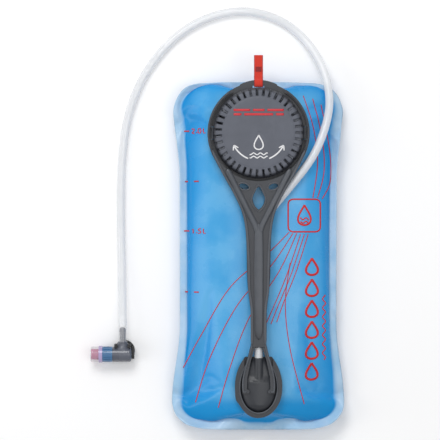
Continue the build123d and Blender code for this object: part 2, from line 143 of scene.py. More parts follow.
def runAlong(points):
    # how far along the line each of its points lies
    return np.concatenate([[0], np.cumsum(np.linalg.norm(np.diff(points, axis=0), axis=1))])


def evenPath(points, step):
    # the same line with its points an equal distance apart
    run = runAlong(points)
    t = np.linspace(0, run[-1], max(2, int(run[-1] / step) + 1))
    return np.stack([np.interp(t, run, points[:, k]) for k in range(points.shape[1])], axis=1)


def sideways(path, closed=False):
    # the unit vector in the XY plane at right angles to the path, at each of its points
    way = np.roll(path, -1, 0) - np.roll(path, 1, 0) if closed else np.gradient(path, axis=0)
    flat = np.stack([-way[:, 1], way[:, 0]], axis=1)
    return flat / np.maximum(np.linalg.norm(flat, axis=1, keepdims=True), 1e-12)


rib = dict(arc=11, footIn=0.8, footDown=0.22, step=1.2)


def ridge(name, path, half, height, base, material, taper=0.12, closed=False, power=0.8):
    # a raised rib: across, a half oval of the given half width and height on a flat foot at base; along,
    # it follows the path (millimetres) and runs out to a point over the taper share at each end
    n = len(path)
    t = np.linspace(0, 1, n)
    end = np.clip(np.minimum(t, 1 - t) / taper, 0, 1)
    fade = np.ones(n) if closed else np.sqrt(end * (2 - end))
    half, height, base = (np.broadcast_to(v, n) for v in (half, height, base))
    turn = np.linspace(0, np.pi, rib["arc"])
    u = np.concatenate([np.cos(turn), [-rib["footIn"], rib["footIn"]]])
    h = np.concatenate([np.sin(turn) ** power, [-rib["footDown"], -rib["footDown"]]])
    out = sideways(path[:, :2], closed)
    xy = path[:, None, :2] + out[:, None, :] * (u[None, :] * (half * fade)[:, None])[..., None]
    z = base[:, None] + h[None, :] * (height * fade)[:, None]
    grid = np.concatenate([xy, z[..., None]], axis=2) * mm
    obj = closeUp(meshPiece(name, grid, faceGrid(n, len(u), True, closed), material))
    # the rib's height share, 0 at its foot and 1 on top, is the mask for painted shade in the hollow beside
    # it
    raised = pointsOf(obj.data)[:, 2] / mm - float(base.min())
    setAttribute(obj, "shadeByRelief", np.clip(raised / float(height.max()), 0, 1))
    return obj


def newMaterial(name):
    # an empty Principled material: itself, its node tree and its shader
    m = bpy.data.materials.new(name)
    m.use_nodes = True
    return m, m.node_tree, m.node_tree.nodes["Principled BSDF"]


def linear(r, g, b):
    # 0..255 display values to linear colour
    c = np.array([r, g, b]) / 255
    c = np.where(c <= 0.04045, c / 12.92, ((c + 0.055) / 1.055) ** 2.4)
    return (*[float(v) for v in c], 1.0)


def mixColour(tree, mask, a, b):
    # a where the mask is 0 and b where it is 1; a and b are colours or sockets
    mix = tree.nodes.new("ShaderNodeMix")
    mix.data_type = "RGBA"
    tree.links.new(mask, mix.inputs["Factor"])
    for socket, value in ((mix.inputs[6], a), (mix.inputs[7], b)):
        if isinstance(value, tuple):
            socket.default_value = value
        else:
            tree.links.new(value, socket)
    return mix.outputs[2]


def ramp(tree, value, low, high, outLow, outHigh):
    # a smooth step of value from low..high to outLow..outHigh
    node = tree.nodes.new("ShaderNodeMapRange")
    node.interpolation_type = "SMOOTHSTEP"
    tree.links.new(value, node.inputs["Value"])
    for key, number in (("From Min", low), ("From Max", high), ("To Min", outLow), ("To Max", outHigh)):
        node.inputs[key].default_value = number
    return node.outputs["Result"]


def arithmetic(tree, operation, a, b=0.0):
    # one Math node; a and b are numbers or sockets
    node = tree.nodes.new("ShaderNodeMath")
    node.operation = operation
    for socket, value in zip(node.inputs, (a, b)):
        if isinstance(value, (int, float)):
            socket.default_value = value
        else:
            tree.links.new(value, socket)
    return node.outputs[0]


def attributeValue(tree, name):
    # a per-point number that the mesh carries
    node = tree.nodes.new("ShaderNodeAttribute")
    node.attribute_name = name
    return node.outputs["Fac"]


def noise(tree, vector, scale, detail=2.0):
    # plain fractal noise over the object's own coordinates
    node = tree.nodes.new("ShaderNodeTexNoise")
    node.inputs["Scale"].default_value = scale
    node.inputs["Detail"].default_value = detail
    tree.links.new(vector, node.inputs["Vector"])
    return node.outputs["Fac"]


def makeGrainGroup():
    # fine moulded grain as a Normal, large soft mottling, and thin handling scuffs where a
    # stretched noise passes a threshold
    g = bpy.data.node_groups.new("mouldedGrain", "ShaderNodeTree")
    for key, value in (("Scale", 900), ("Depth", 0.3)):
        g.interface.new_socket(key, in_out="INPUT", socket_type="NodeSocketFloat").default_value = value
    g.interface.new_socket("Normal", in_out="OUTPUT", socket_type="NodeSocketVector")
    for key in ("Mottle", "Scuff"):
        g.interface.new_socket(key, in_out="OUTPUT", socket_type="NodeSocketFloat")
    start, end = g.nodes.new("NodeGroupInput"), g.nodes.new("NodeGroupOutput")
    place = g.nodes.new("ShaderNodeTexCoord")
    fine = g.nodes.new("ShaderNodeTexNoise")
    g.links.new(place.outputs["Object"], fine.inputs["Vector"])
    g.links.new(start.outputs["Scale"], fine.inputs["Scale"])
    bump = g.nodes.new("ShaderNodeBump")
    bump.inputs["Distance"].default_value = 0.0003
    g.links.new(start.outputs["Depth"], bump.inputs["Strength"])
    g.links.new(fine.outputs["Fac"], bump.inputs["Height"])
    g.links.new(bump.outputs["Normal"], end.inputs["Normal"])
    g.links.new(noise(g, place.outputs["Object"], 60, 3), end.inputs["Mottle"])
    stretch = g.nodes.new("ShaderNodeMapping")
    stretch.inputs["Scale"].default_value = (1.0, 0.18, 1.0)
    stretch.inputs["Rotation"].default_value = (0, 0, 0.7)
    g.links.new(place.outputs["Object"], stretch.inputs["Vector"])
    g.links.new(ramp(g, noise(g, stretch.outputs["Vector"], 420, 4), 0.66, 0.74, 0, 1), end.inputs["Scuff"])
    return g


grainGroup = makeGrainGroup()


def grain(tree, scale, depth):
    # the moulded grain placed in a material: its normal, mottle and scuff sockets
    node = tree.nodes.new("ShaderNodeGroup")
    node.node_tree = grainGroup
    node.inputs["Scale"].default_value = scale
    node.inputs["Depth"].default_value = depth
    return [node.outputs[k] for k in ("Normal", "Mottle", "Scuff")]


def plastic(name, colour, worn, rough=(0.38, 0.5), scale=900, depth=0.25, coat=0.0, low=None):
    # moulded plastic: two close colours mottled together, scuffed, with a fine grain; where low is
    # given, it is painted shade: the per-point relief mask runs from that darker colour in the hollows to the
    # colour on the heights
    m, tree, shader = newMaterial(name)
    normal, mottle, scuff = grain(tree, scale, depth)
    body = mixColour(tree, ramp(tree, mottle, 0.3, 0.7, 0, 1), linear(*colour), linear(*worn))
    scuffed = linear(*(min(255, c + 10) for c in worn))
    body = mixColour(tree, arithmetic(tree, "MULTIPLY", scuff, 0.35), body, scuffed)
    if low:
        # painted shade: the low colour darkens the hollows
        body = mixColour(tree, ramp(tree, attributeValue(tree, "shadeByRelief"), 0, 0.8, 0, 1), linear(*low), body)
    tree.links.new(body, shader.inputs["Base Color"])
    tree.links.new(ramp(tree, mottle, 0.25, 0.75, rough[0], rough[1]), shader.inputs["Roughness"])
    tree.links.new(normal, shader.inputs["Normal"])
    shader.inputs["Coat Weight"].default_value = coat
    return m


def clearPlastic(name, colour, alpha, rough=0.18, coat=0.4, scale=500, depth=0.08):
    # see-through moulding: a pale plastic that lets part of what is behind it show
    paler = tuple(min(255, c + 8) for c in colour)
    m = plastic(name, colour, paler, (rough, rough + 0.08), scale, depth, coat)
    m.node_tree.nodes["Principled BSDF"].inputs["Alpha"].default_value = alpha
    return m


# capGrey's low colour is painted shade, laid into the notches and over the skirt where it falls away
capGrey = plastic("capGrey", (78, 82, 93), (87, 91, 102), (0.42, 0.55), 1400, 0.3, low=(30, 31, 35))
threadGrey = plastic("threadGrey", (92, 96, 106), (100, 104, 113), (0.42, 0.55), 1400, 0.3)
handleDark = plastic("handleDark", (46, 49, 55), (54, 57, 63), (0.36, 0.48), 1200, 0.2)
# the ribs' plastic is a lighter copy of handleDark, a painted highlight on the raised ribs, with painted
# shade at their foot from its low colour
handleRibPaintedLight = plastic("handleRibPaintedLight", (67, 71, 78), (76, 80, 87), (0.32, 0.44), 1200, 0.2, low=(42, 45, 51))
portGrey = plastic("portGrey", (40, 43, 49), (47, 50, 56), (0.34, 0.46), 1200, 0.2)
portSkin = plastic("portSkin", (40, 43, 49), (47, 50, 56), (0.34, 0.46), 1200, 0.2)
neckGrey = plastic("neckGrey", (78, 82, 90), (86, 90, 98), (0.4, 0.5))
sealBlack = plastic("sealBlack", (38, 39, 42), (46, 47, 50), (0.6, 0.75), 700, 0.2)
valveGrey = plastic("valveGrey", (82, 86, 98), (92, 96, 107), (0.22, 0.32), 900, 0.1, 0.35)
clipBlack = plastic("clipBlack", (20, 21, 23), (28, 29, 32), (0.35, 0.5), 1000, 0.25)
magnetSteel = plastic("magnetSteel", (170, 172, 176), (186, 188, 192), (0.2, 0.3), 700, 0.1)
magnetSteel.node_tree.nodes["Principled BSDF"].inputs["Metallic"].default_value = 1.0
sleeveBlue = clearPlastic("sleeveBlue", (66, 112, 156), 0.96)
ringLilac = clearPlastic("ringLilac", (176, 160, 200), 0.9)
mouthClear = clearPlastic("mouthClear", (206, 204, 212), 0.24, 0.3)
corePink = plastic("corePink", (200, 44, 120), (214, 72, 142), (0.4, 0.5), 900, 0.1)
print("materials made")

dress = {
    "cap_thread_ring": threadGrey, "cap_seal": sealBlack, "fill_neck": neckGrey,
    "handle_frame": handleDark, "port_base": portGrey, "port_barb": valveGrey,
    "port_o_ring": sealBlack, "valve_stem": valveGrey, "swivel_o_ring": sealBlack,
    "elbow_housing": valveGrey, "shutoff_sleeve": sleeveBlue, "valve_spindle": valveGrey,
    "spindle_o_ring": sealBlack, "retaining_ring": ringLilac, "bite_diaphragm": corePink,
    "mouthpiece": mouthClear, "magnet_clip": clipBlack, "magnet_disc": magnetSteel,
    "magnet_cover": clipBlack,
}
for nodeName, material in dress.items():
    for s in nodes[nodeName].material_slots:
        s.material = material
print("packed pieces dressed")

bag = dict(halfWidth=0.0925, head=0.1835, foot=-0.2005, corner=0.029, border=0.0075, footBorder=0.0105,
           cornerSlack=0.003, step=0.0034, borderCols=3, arcRows=8, sheet=0.0005, swell=0.0012,
           neckR=0.0452, portRx=0.0235, portRy=0.0285, spineHalf=0.0075, restInset=0.034, holeR=0.0345,
           neckSink=0.0006, spineRise=0.0004, tableZ=0.0006, borderGap=0.0007)
bagCloth = dict(frames=46, liftFrames=14, pressure=3.2, tension=18.0, shear=8.0, bend=0.6, weldBend=12,
                damping=20, airDamping=6, quality=6, mass=0.25)
bagOutline = dict(waist=0.0824, footFlare=0.0084, footFlareY=(-0.085, -0.168), headFlare=0.0075,
                  headFlareY=(0.07, 0.15), bow=0.0016, reach=11,
                  headCorner=dict(x=0.062, y=0.134, rx=0.028, ry=0.0345),
                  footCorner=dict(x=0.058, y=-0.166, rx=0.0328, ry=0.0285))
bagSettle = dict(chunk=40, gap=0.0012, hoseFlare=1.2, spineHalf=0.016, spineFlare=0.9, footY=-0.125,
                 footFlare=0.5, headY=0.07, lowest=0.0007)


def bagRows(b):
    # rows from foot to head: border, inner corner arc, straight stretch, arc, border
    arc = 1 - np.cos(np.linspace(0, np.pi / 2, b["arcRows"]))
    inFoot, inHead = b["foot"] + b["footBorder"], b["head"] - b["border"]
    rFoot, rHead = b["corner"] - b["footBorder"], b["corner"] - b["border"]
    k = b["borderCols"]
    low = np.linspace(b["foot"], inFoot, k + 1)[:-1]
    high = np.linspace(inHead, b["head"], k + 1)[1:]
    y0, y1 = inFoot + rFoot, inHead - rHead
    middle = np.linspace(y0, y1, int((y1 - y0) / b["step"]) + 1)
    y = np.concatenate([low, inFoot + rFoot * arc[:-1], middle, (inHead - rHead * arc[:-1])[::-1], high])
    return y, k, len(y) - 1 - k


def bagWidths(b, y):
    # half widths of the outer edge and of the weld line at each row; the corners are round
    hw, r = b["halfWidth"], b["corner"]
    over = np.maximum(y - (b["head"] - r), 0) + np.maximum(b["foot"] + r - y, 0)
    outer = hw - r + np.sqrt(np.maximum(r**2 - over**2, 0))
    rx = r - b["border"] + b["cornerSlack"]
    inFoot, inHead = b["foot"] + b["footBorder"], b["head"] - b["border"]
    rHead, rFoot = r - b["border"], r - b["footBorder"]
    upper = np.clip((y - (inHead - rHead)) / rHead, 0, 1)
    lower = np.clip((inFoot + rFoot - y) / rFoot, 0, 1)
    inner = hw - b["border"] - rx + rx * np.sqrt(1 - np.maximum(upper, lower) ** 2)
    return outer, inner


def bagPattern(b):
    # the flat pattern: a front grid with its border, and a back grid that shares the weld line
    y, firstIn, lastIn = bagRows(b)
    outer, inner = bagWidths(b, y)
    k = b["borderCols"]
    n = 2 * int(b["halfWidth"] / b["step"]) + 1
    s = np.linspace(-1, 1, n)
    t = np.arange(1, k + 1) / k
    right = inner[:, None] + t * (outer - inner)[:, None]
    x = np.concatenate([-right[:, ::-1], s * inner[:, None], right], axis=1)
    rows, cols = x.shape
    front = np.stack([x, np.repeat(y[:, None], cols, 1), np.full_like(x, seamZ)], axis=-1)
    inside = np.zeros((rows, cols), bool)
    inside[firstIn + 1:lastIn, k + 1:cols - k - 1] = True
    number = np.arange(rows * cols).reshape(rows, cols)
    backNumber = number.copy()
    backNumber[inside] = rows * cols + np.arange(inside.sum())
    swell = b["swell"] * inside[..., None] * np.array([0, 0, 1])
    points = np.concatenate([(front + swell).reshape(-1, 3), (front - swell)[inside]])
    faces = faceGrid(rows, cols)
    part = backNumber[firstIn:lastIn + 1, k:cols - k]
    back = np.stack([part[:-1, :-1], part[1:, :-1], part[1:, 1:], part[:-1, 1:]], axis=-1).reshape(-1, 4)
    return points, faces, back, inside, (rows, cols), (firstIn, lastIn, k)


def inflateBag(pattern, b, c):
    # cloth under pressure: the flat pattern swells while the neck, the port, the strip under the spine
    # and the patch on the table are led to their heights
    points, faces, back, inside, shape = pattern[:5]
    mesh = bpy.data.meshes.new("bagCloth")
    mesh.from_pydata(points.tolist(), [], np.concatenate([faces, back]).tolist())
    cloth = bpy.data.objects.new("bagCloth", mesh)
    bpy.context.scene.collection.objects.link(cloth)
    x, y = points[:, 0], points[:, 1]
    isFront = np.arange(len(points)) < shape[0] * shape[1]
    neck = np.hypot(x - capSpot[0], y - capSpot[1]) < b["neckR"]
    port = (x / b["portRx"]) ** 2 + ((y - portY) / b["portRy"]) ** 2 < 1
    spine = (np.abs(x) < b["spineHalf"]) & (y > portY) & (y < capSpot[1])
    top = isFront & (neck | port | spine)
    inset = b["restInset"]
    table = ~isFront & (np.abs(x) < b["halfWidth"] - inset)
    table &= (y < b["head"] - inset) & (y > b["foot"] + inset)
    lifted = points.copy()
    lifted[top, 2] = landZ - b["neckSink"]
    lifted[top & spine & ~neck & ~port, 2] = landZ + b["spineRise"]
    lifted[table, 2] = b["tableZ"]
    cloth.shape_key_add(name="flat")
    key = cloth.shape_key_add(name="lifted")
    key.data.foreach_set("co", lifted.ravel())
    for f, v in ((1, 0.0), (c["liftFrames"], 1.0)):
        key.value = v
        key.keyframe_insert("value", frame=f)
    loose = np.concatenate([inside.ravel(), np.ones(inside.sum(), bool)])
    for word, chosen in (("pins", top | table), ("filled", loose), ("stiff", ~loose)):
        cloth.vertex_groups.new(name=word).add(np.flatnonzero(chosen).tolist(), 1.0, "REPLACE")
    modifier = cloth.modifiers.new("Cloth", "CLOTH")
    fabric = modifier.settings
    fabric.quality = c["quality"]
    fabric.mass = c["mass"]
    fabric.tension_stiffness = fabric.compression_stiffness = c["tension"]
    fabric.shear_stiffness = c["shear"]
    fabric.bending_stiffness = c["bend"]
    fabric.vertex_group_bending = "stiff"
    fabric.bending_stiffness_max = c["weldBend"]
    fabric.tension_damping = fabric.compression_damping = fabric.shear_damping = c["damping"]
    fabric.air_damping = c["airDamping"]
    fabric.vertex_group_mass = "pins"
    fabric.pin_stiffness = 1
    fabric.use_pressure = True
    fabric.uniform_pressure_force = c["pressure"]
    fabric.vertex_group_pressure = "filled"
    fabric.effector_weights.gravity = 0
    modifier.collision_settings.use_collision = False
    modifier.point_cache.frame_start = 1
    modifier.point_cache.frame_end = c["frames"]
    for f in range(1, c["frames"] + 1):
        bpy.context.scene.frame_set(f)
    out = pointsOf(cloth.evaluated_get(bpy.context.evaluated_depsgraph_get()).to_mesh())
    bpy.context.scene.frame_set(1)
    bpy.data.objects.remove(cloth)
    return out


def outlineAt(b, o, shape):
    # where each point of the bag's edge belongs: sides that follow a smooth waist and flare, elliptical
    # corners, and a head and foot that bow outwards; the grid's end columns and rows give the angles
    y = bagRows(b)[0]
    outer = bagWidths(b, y)[0]
    r, hw, low, high = b["corner"], b["halfWidth"], o["footCorner"], o["headCorner"]
    cosine = np.clip((outer - hw + r) / r, 0, 1)
    sine = np.sqrt(1 - cosine**2)
    straight = np.clip((y - b["foot"] - r) / (b["head"] - b["foot"] - 2 * r), 0, 1)
    sideY = low["y"] + (high["y"] - low["y"]) * straight
    sideY += np.where(y > 0, high["ry"], -low["ry"]) * sine
    sideX = o["waist"] + o["footFlare"] * blendIn(*o["footFlareY"], sideY)
    sideX += o["headFlare"] * blendIn(*o["headFlareY"], sideY)
    sideX = np.where(straight <= 0, low["x"] + low["rx"] * cosine, sideX)
    sideX = np.where(straight >= 1, high["x"] + high["rx"] * cosine, sideX)
    t = np.linspace(-1, 1, shape[1])
    headY = high["y"] + high["ry"] + o["bow"] * (1 - t**2)
    footY = low["y"] - low["ry"] - o["bow"] * (1 - t**2)
    return sideX, sideY, t * high["x"], headY, t * low["x"], footY


def fitOutline(out, b, o, shape, inside):
    # the whole bag is drawn towards that outline: each point takes the shift of the nearest edge
    # points in its row and column, weighted by how close they are
    rows, cols = shape
    edge = out[:rows * cols].reshape(rows, cols, 3)
    sideX, sideY, headX, headY, footX, footY = outlineAt(b, o, shape)
    i, j = np.arange(rows)[:, None], np.arange(cols)[None, :]
    shift = np.zeros((rows, cols, 2))
    total = np.full((rows, cols, 1), 1e-9)
    most = np.zeros((rows, cols, 1))
    pulls = [(cols - 1 - j + 0 * i, np.stack([sideX - edge[:, -1, 0], sideY - edge[:, -1, 1]], 1)[:, None]),
             (j + 0 * i, np.stack([-sideX - edge[:, 0, 0], sideY - edge[:, 0, 1]], 1)[:, None]),
             (rows - 1 - i + 0 * j, np.stack([headX - edge[-1, :, 0], headY - edge[-1, :, 1]], 1)[None]),
             (i + 0 * j, np.stack([footX - edge[0, :, 0], footY - edge[0, :, 1]], 1)[None])]
    for steps, move in pulls:
        weight = blendIn(o["reach"], 0, steps.astype(float))[..., None]
        shift += weight * move / (steps[..., None] + 0.5)
        total += weight / (steps[..., None] + 0.5)
        most = np.maximum(most, weight)
    shift = shift / total * most
    moved = out.copy()
    moved[:rows * cols, :2] += shift.reshape(-1, 2)
    moved[rows * cols:, :2] += shift[inside]
    return moved


def settleBag(out, shape, q):
    # pressed down under the hose and the handle, and kept on the table
    x, y, z = out[:, 0], out[:, 1], out[:, 2]
    front = np.arange(len(out)) < shape[0] * shape[1]
    sampled = hoseSamples()
    room = np.full(len(out), 1.0)
    r = hose["radius"]
    for start in range(0, len(sampled) - 1, q["chunk"]):
        part = sampled[start:start + q["chunk"] + 1]
        away = np.hypot(x[:, None] - part[None, :, 0], y[:, None] - part[None, :, 1])
        sag = np.sqrt(np.maximum((r + q["gap"])**2 - np.minimum(away, r)**2, 0))
        low = part[None, :, 2] - sag + np.maximum(away - r, 0) * q["hoseFlare"]
        room = np.minimum(room, low.min(axis=1))
    z = np.where(front, softMin(z, room, q["gap"]), z)
    spineRoom = landZ + q["gap"] + np.maximum(np.abs(x) - q["spineHalf"], 0) * q["spineFlare"]
    spineRoom += np.maximum(q["footY"] - y, 0) * q["footFlare"]
    z = np.where(front & (y < q["headY"]), softMin(z, spineRoom, q["gap"]), z)
    return np.stack([x, y, np.maximum(z, q["lowest"])], axis=1)


hose = dict(radius=0.0043, alpha=0.62, barbAlpha=0.2, barbY=(-0.091, -0.083), barbX=(-0.13, -0.12),
            pale=(247, 248, 250), grey=(234, 237, 241), route=[
    (0, -142, 49), (0, -96, 49), (0, -36, 49.5), (1, 6, 49.2), (10.5, 33, 49.2), (31, 57, 48.2),
    (57.5, 90, 46.6), (70.5, 122, 41.5), (76, 150, 31), (70, 183, 19), (53, 214, 8), (24, 238, 4.6),
    (-15, 248, 4.6), (-55, 240, 4.6), (-92, 217, 4.6), (-121, 180, 4.6), (-138, 138, 4.6),
    (-144.5, 92, 4.6), (-145.5, 30, 4.6), (-144, -33, 5.4), (-143, -76, 14), (-143, -103.7, 14)])


def hoseCurve(name):
    # one NURBS spline whose control points are the route's points
    curve = bpy.data.curves.new(name, "CURVE")
    curve.dimensions = "3D"
    spline = curve.splines.new("NURBS")
    spline.points.add(len(hose["route"]) - 1)
    for p, spot in zip(spline.points, hose["route"]):
        p.co = (*[v * mm for v in spot], 1)
    spline.order_u = 3
    spline.use_endpoint_u = True
    curve.resolution_u = 16
    obj = bpy.data.objects.new(name, curve)
    bpy.context.scene.collection.objects.link(obj)
    return obj


def hoseSamples():
    # points along the hose's smooth line
    obj = hoseCurve("hoseLine")
    bpy.context.view_layer.update()
    mesh = bpy.data.meshes.new_from_object(obj)
    bpy.data.objects.remove(obj)
    return pointsOf(mesh)


# edge and rim are painted shade: the deeper blue where the film curves away from the top and in a band just
# inside the weld
film = dict(crown=(70, 162, 220), crownPale=(98, 176, 226), edge=(16, 146, 220), foot=(0, 140, 208),
            rim=(4, 138, 208), rimShadeReach=8.0, rimShadeStrength=0.9, footY=(-0.157, -0.17), footStrength=0.85,
            weld=(170, 212, 243), weldPale=(194, 224, 248), alpha=0.97, weldAlpha=0.74)


def filmMaterial(name):
    # tinted film: paler over the crown, with painted shade where it curves away and in a band just inside the
    # weld, deeper at the foot, milky at the weld
    m, tree, shader = newMaterial(name)
    slopeShade, weld, foot = (attributeValue(tree, k) for k in ("slopeShade", "weld", "foot"))
    place = tree.nodes.new("ShaderNodeTexCoord").outputs["Object"]
    cloud = noise(tree, place, 26, 4)
    crown = mixColour(tree, ramp(tree, cloud, 0.35, 0.65, 0, 1), linear(*film["crown"]),
                      linear(*film["crownPale"]))
    # painted shade: the film takes the deeper edge colour where it slopes away from the top
    body = mixColour(tree, ramp(tree, slopeShade, 0.12, 0.75, 0, 1), crown, linear(*film["edge"]))
    # painted shade: a deeper band just inside the weld
    body = mixColour(tree, attributeValue(tree, "rim"), body, linear(*film["rim"]))
    body = mixColour(tree, foot, body, linear(*film["foot"]))
    milky = mixColour(tree, ramp(tree, noise(tree, place, 45, 3), 0.3, 0.7, 0, 1),
                      linear(*film["weld"]), linear(*film["weldPale"]))
    body = mixColour(tree, weld, body, milky)
    tree.links.new(body, shader.inputs["Base Color"])
    tree.links.new(ramp(tree, weld, 0, 1, film["alpha"], film["weldAlpha"]), shader.inputs["Alpha"])
    tree.links.new(ramp(tree, cloud, 0.3, 0.7, 0.2, 0.32), shader.inputs["Roughness"])
    bump = tree.nodes.new("ShaderNodeBump")
    bump.inputs["Strength"].default_value = 0.1
    bump.inputs["Distance"].default_value = 0.0002
    tree.links.new(noise(tree, place, 1600), bump.inputs["Height"])
    tree.links.new(bump.outputs["Normal"], shader.inputs["Normal"])
    shader.inputs["Specular IOR Level"].default_value = 0.25
    shader.inputs["Coat Weight"].default_value = 0.12
    shader.inputs["Coat Roughness"].default_value = 0.16
    return m


def filmSide(name, grid, up, weld, rim, shape):
    # one film: the grid's surface with its hole for the neck, smoothed once and given its thickness
    rows, cols = shape
    normal = np.cross(np.gradient(grid, axis=1), np.gradient(grid, axis=0))
    normal /= np.maximum(np.linalg.norm(normal, axis=-1, keepdims=True), 1e-12)
    quads = faceGrid(rows, cols)
    if up:
        middle = grid.reshape(-1, 3)[quads].mean(axis=1)
        quads = quads[np.hypot(middle[:, 0] - capSpot[0], middle[:, 1] - capSpot[1]) > bag["holeR"]]
    else:
        quads = quads[:, ::-1]
    obj = meshPiece(name, grid, quads, filmMaterial(name + "Tint"))
    # slope and rim carry painted shade into the film's tint
    setAttribute(obj, "slopeShade", np.sqrt(np.clip(1 - np.abs(normal[..., 2]), 0, 1)))
    setAttribute(obj, "weld", weld)
    setAttribute(obj, "rim", rim)
    setAttribute(obj, "foot", blendIn(*film["footY"], grid[..., 1]) * (1 - weld) * film["footStrength"])
    subdivide = obj.modifiers.new("Subdivision", "SUBSURF")
    subdivide.levels = subdivide.render_levels = 1
    wall = obj.modifiers.new("Solidify", "SOLIDIFY")
    wall.thickness = bag["sheet"]
    wall.offset = -1
    return belong(obj, "reservoir", "film", "front_film" if up else "back_film")


def buildBag():
    # the front film takes the simulated front, and the back film the simulated back plus a border
    # that lies just under the front's
    pattern = bagPattern(bag)
    inside, shape, (firstIn, lastIn, k) = pattern[3:]
    out = inflateBag(pattern, bag, bagCloth)
    print("bag inflated")
    out = settleBag(fitOutline(out, bag, bagOutline, shape, inside), shape, bagSettle)
    rows, cols = shape
    front = out[:rows * cols].reshape(rows, cols, 3)
    under = front.copy()
    under[inside] = out[rows * cols:]
    under[~inside, 2] -= bag["borderGap"]
    under[..., 2] = np.maximum(under[..., 2], bag["tableZ"])
    row, col = np.arange(rows)[:, None], np.arange(cols)[None, :]
    fromWeld = np.minimum(np.minimum(row - firstIn, lastIn - row), np.minimum(col - k, cols - 1 - k - col))
    weld = blendIn(0.6, -0.4, fromWeld.astype(float))
    # painted shade: a darker band that fades in over rimShadeReach rows towards the weld
    rim = film["rimShadeStrength"] * blendIn(film["rimShadeReach"], 0.5, fromWeld.astype(float)) * (1 - weld)
    return (filmSide("frontFilm", front, True, weld, rim, shape),
            filmSide("backFilm", under, False, weld, rim, shape))


frontFilm = buildBag()[0]
print("bag built")

ink = dict(step=1.6, thick=0.00016, lift=0.00016, red=(196, 26, 28))


def inkMaterial(name, colour):
    # screen-printed ink: slightly uneven, faintly speckled
    m, tree, shader = newMaterial(name)
    place = tree.nodes.new("ShaderNodeTexCoord").outputs["Object"]
    thin = linear(*(min(255, c + 22) for c in colour))
    tree.links.new(mixColour(tree, ramp(tree, noise(tree, place, 1400, 3), 0.5, 0.72, 0, 0.7),
                             linear(*colour), thin), shader.inputs["Base Color"])
    tree.links.new(ramp(tree, noise(tree, place, 300), 0.3, 0.7, 0.34, 0.5), shader.inputs["Roughness"])
    return m


def inkStroke(line, width, closed=False):
    # a flat band along the line: three points across, half a width to each side of it
    line = np.asarray(line, float)
    if closed:
        line = np.concatenate([line, line[:1]])
    line = evenPath(line, ink["step"])
    out = sideways(line)
    if closed:
        out[0] = out[-1] = (out[0] + out[-1]) / np.linalg.norm(out[0] + out[-1])
    width = np.broadcast_to(width, len(line)) / 2
    across = np.array([-1.0, 0.0, 1.0])
    return line[:, None] + out[:, None] * (across[None, :] * width[:, None])[..., None]


def printPiece(name, strokes, material, height):
    # all the bands as one mesh at a given height (a number, or a function of x and y, millimetres)
    points, faces, first = [], [], 0
    for band in strokes:
        rows = band.shape[0]
        points.append(band.reshape(-1, 2))
        faces.append(faceGrid(rows, 3)[:, ::-1] + first)
        first += rows * 3
    xy = np.concatenate(points)
    z = height(xy[:, 0], xy[:, 1]) if callable(height) else np.full(len(xy), height)
    return meshPiece(name, np.column_stack([xy, z]) * mm, np.concatenate(faces), material)


def thicken(obj, thick):
    # the flat print gets its own thickness, upwards
    wall = obj.modifiers.new("Solidify", "SOLIDIFY")
    wall.thickness = thick
    wall.offset = 1


def layOn(obj, target):
    # the print drops straight down onto the film and keeps that shape
    drop = obj.modifiers.new("Shrinkwrap", "SHRINKWRAP")
    drop.target = target
    drop.wrap_method = "PROJECT"
    drop.use_project_z = True
    drop.use_positive_direction = False
    drop.use_negative_direction = True
    drop.offset = ink["lift"]
    bpy.context.view_layer.update()
    laid = bpy.data.meshes.new_from_object(obj.evaluated_get(bpy.context.evaluated_depsgraph_get()))
    obj.modifiers.remove(drop)
    obj.data = laid
    return obj


# figures drawn as single strokes in a box 1 wide and 1.6 tall, and how far on each next one stands
figures = {
    "2": [[(0, 1.35), (0.2, 1.6), (0.8, 1.6), (1, 1.35), (1, 1.05), (0.05, 0.0), (1, 0.0)]],
    "1": [[(0.2, 1.25), (0.6, 1.6), (0.6, 0.0)]],
    "0": [[(0.2, 0), (0, 0.25), (0, 1.35), (0.2, 1.6), (0.8, 1.6), (1, 1.35), (1, 0.25), (0.8, 0), (0.2, 0)]],
    "5": [[(0.95, 1.6), (0.1, 1.6), (0.05, 0.9), (0.7, 0.95), (1, 0.7), (1, 0.25), (0.75, 0), (0, 0)]],
    ".": [[(0.4, 0.0), (0.4, 0.4)]],
    "L": [[(0.1, 1.6), (0.1, 0), (0.85, 0)]],
}
advance = {"2": 1.45, "1": 1.45, "0": 1.45, "5": 1.45, "L": 1.45, ".": 0.85, " ": 0.3}


def figureStrokes(words, x, y, size, width):
    # the figures side by side from x, y: each is scaled to its size and moved on by its own advance
    made, place = [], x
    for letter in words:
        for line in figures.get(letter, []):
            made.append(inkStroke(np.array(line) * size + (place, y), width))
        place += size * advance[letter]
    return made


def dropLine(x, y, half, tall, count=40):
    # a water drop: a round bottom whose flanks narrow to a point, x = half sin a cos^1.5(a/2)
    a = np.linspace(-np.pi, np.pi, count)
    return np.column_stack([x + half * 1.3 * np.sin(a) * np.cos(a / 2) ** 1.5,
                            y + tall * (0.5 - 0.5 * np.cos(a)) - tall * 0.5])


def waveLine(x, y0, y1, swing, length):
    # a sine wave that runs up the bag: x + swing sin(2 pi y / length)
    y = np.linspace(y0, y1, int(abs(y1 - y0)) + 2)
    return np.column_stack([x + swing * np.sin(2 * np.pi * (y - y0) / length), y])


def ripple(x, y, half, swing, turn, count):
    # a sine wave that runs across, from half to the left of x to half to the right of it
    away = np.linspace(-half, half, count)
    return np.column_stack([x + away, y + swing * np.sin(away * turn)])


def roundBox(x, y, half, tall, corner):
    # a box with round corners, corner by corner as quarter circles
    a = np.linspace(0, np.pi / 2, 6)
    spots = [(1, 1, 0), (-1, 1, 1), (-1, -1, 2), (1, -1, 3)]
    return np.concatenate([np.column_stack([
        x + sx * (half - corner) + corner * np.cos(a + q * np.pi / 2),
        y + sy * (tall - corner) + corner * np.sin(a + q * np.pi / 2)]) for sx, sy, q in spots])


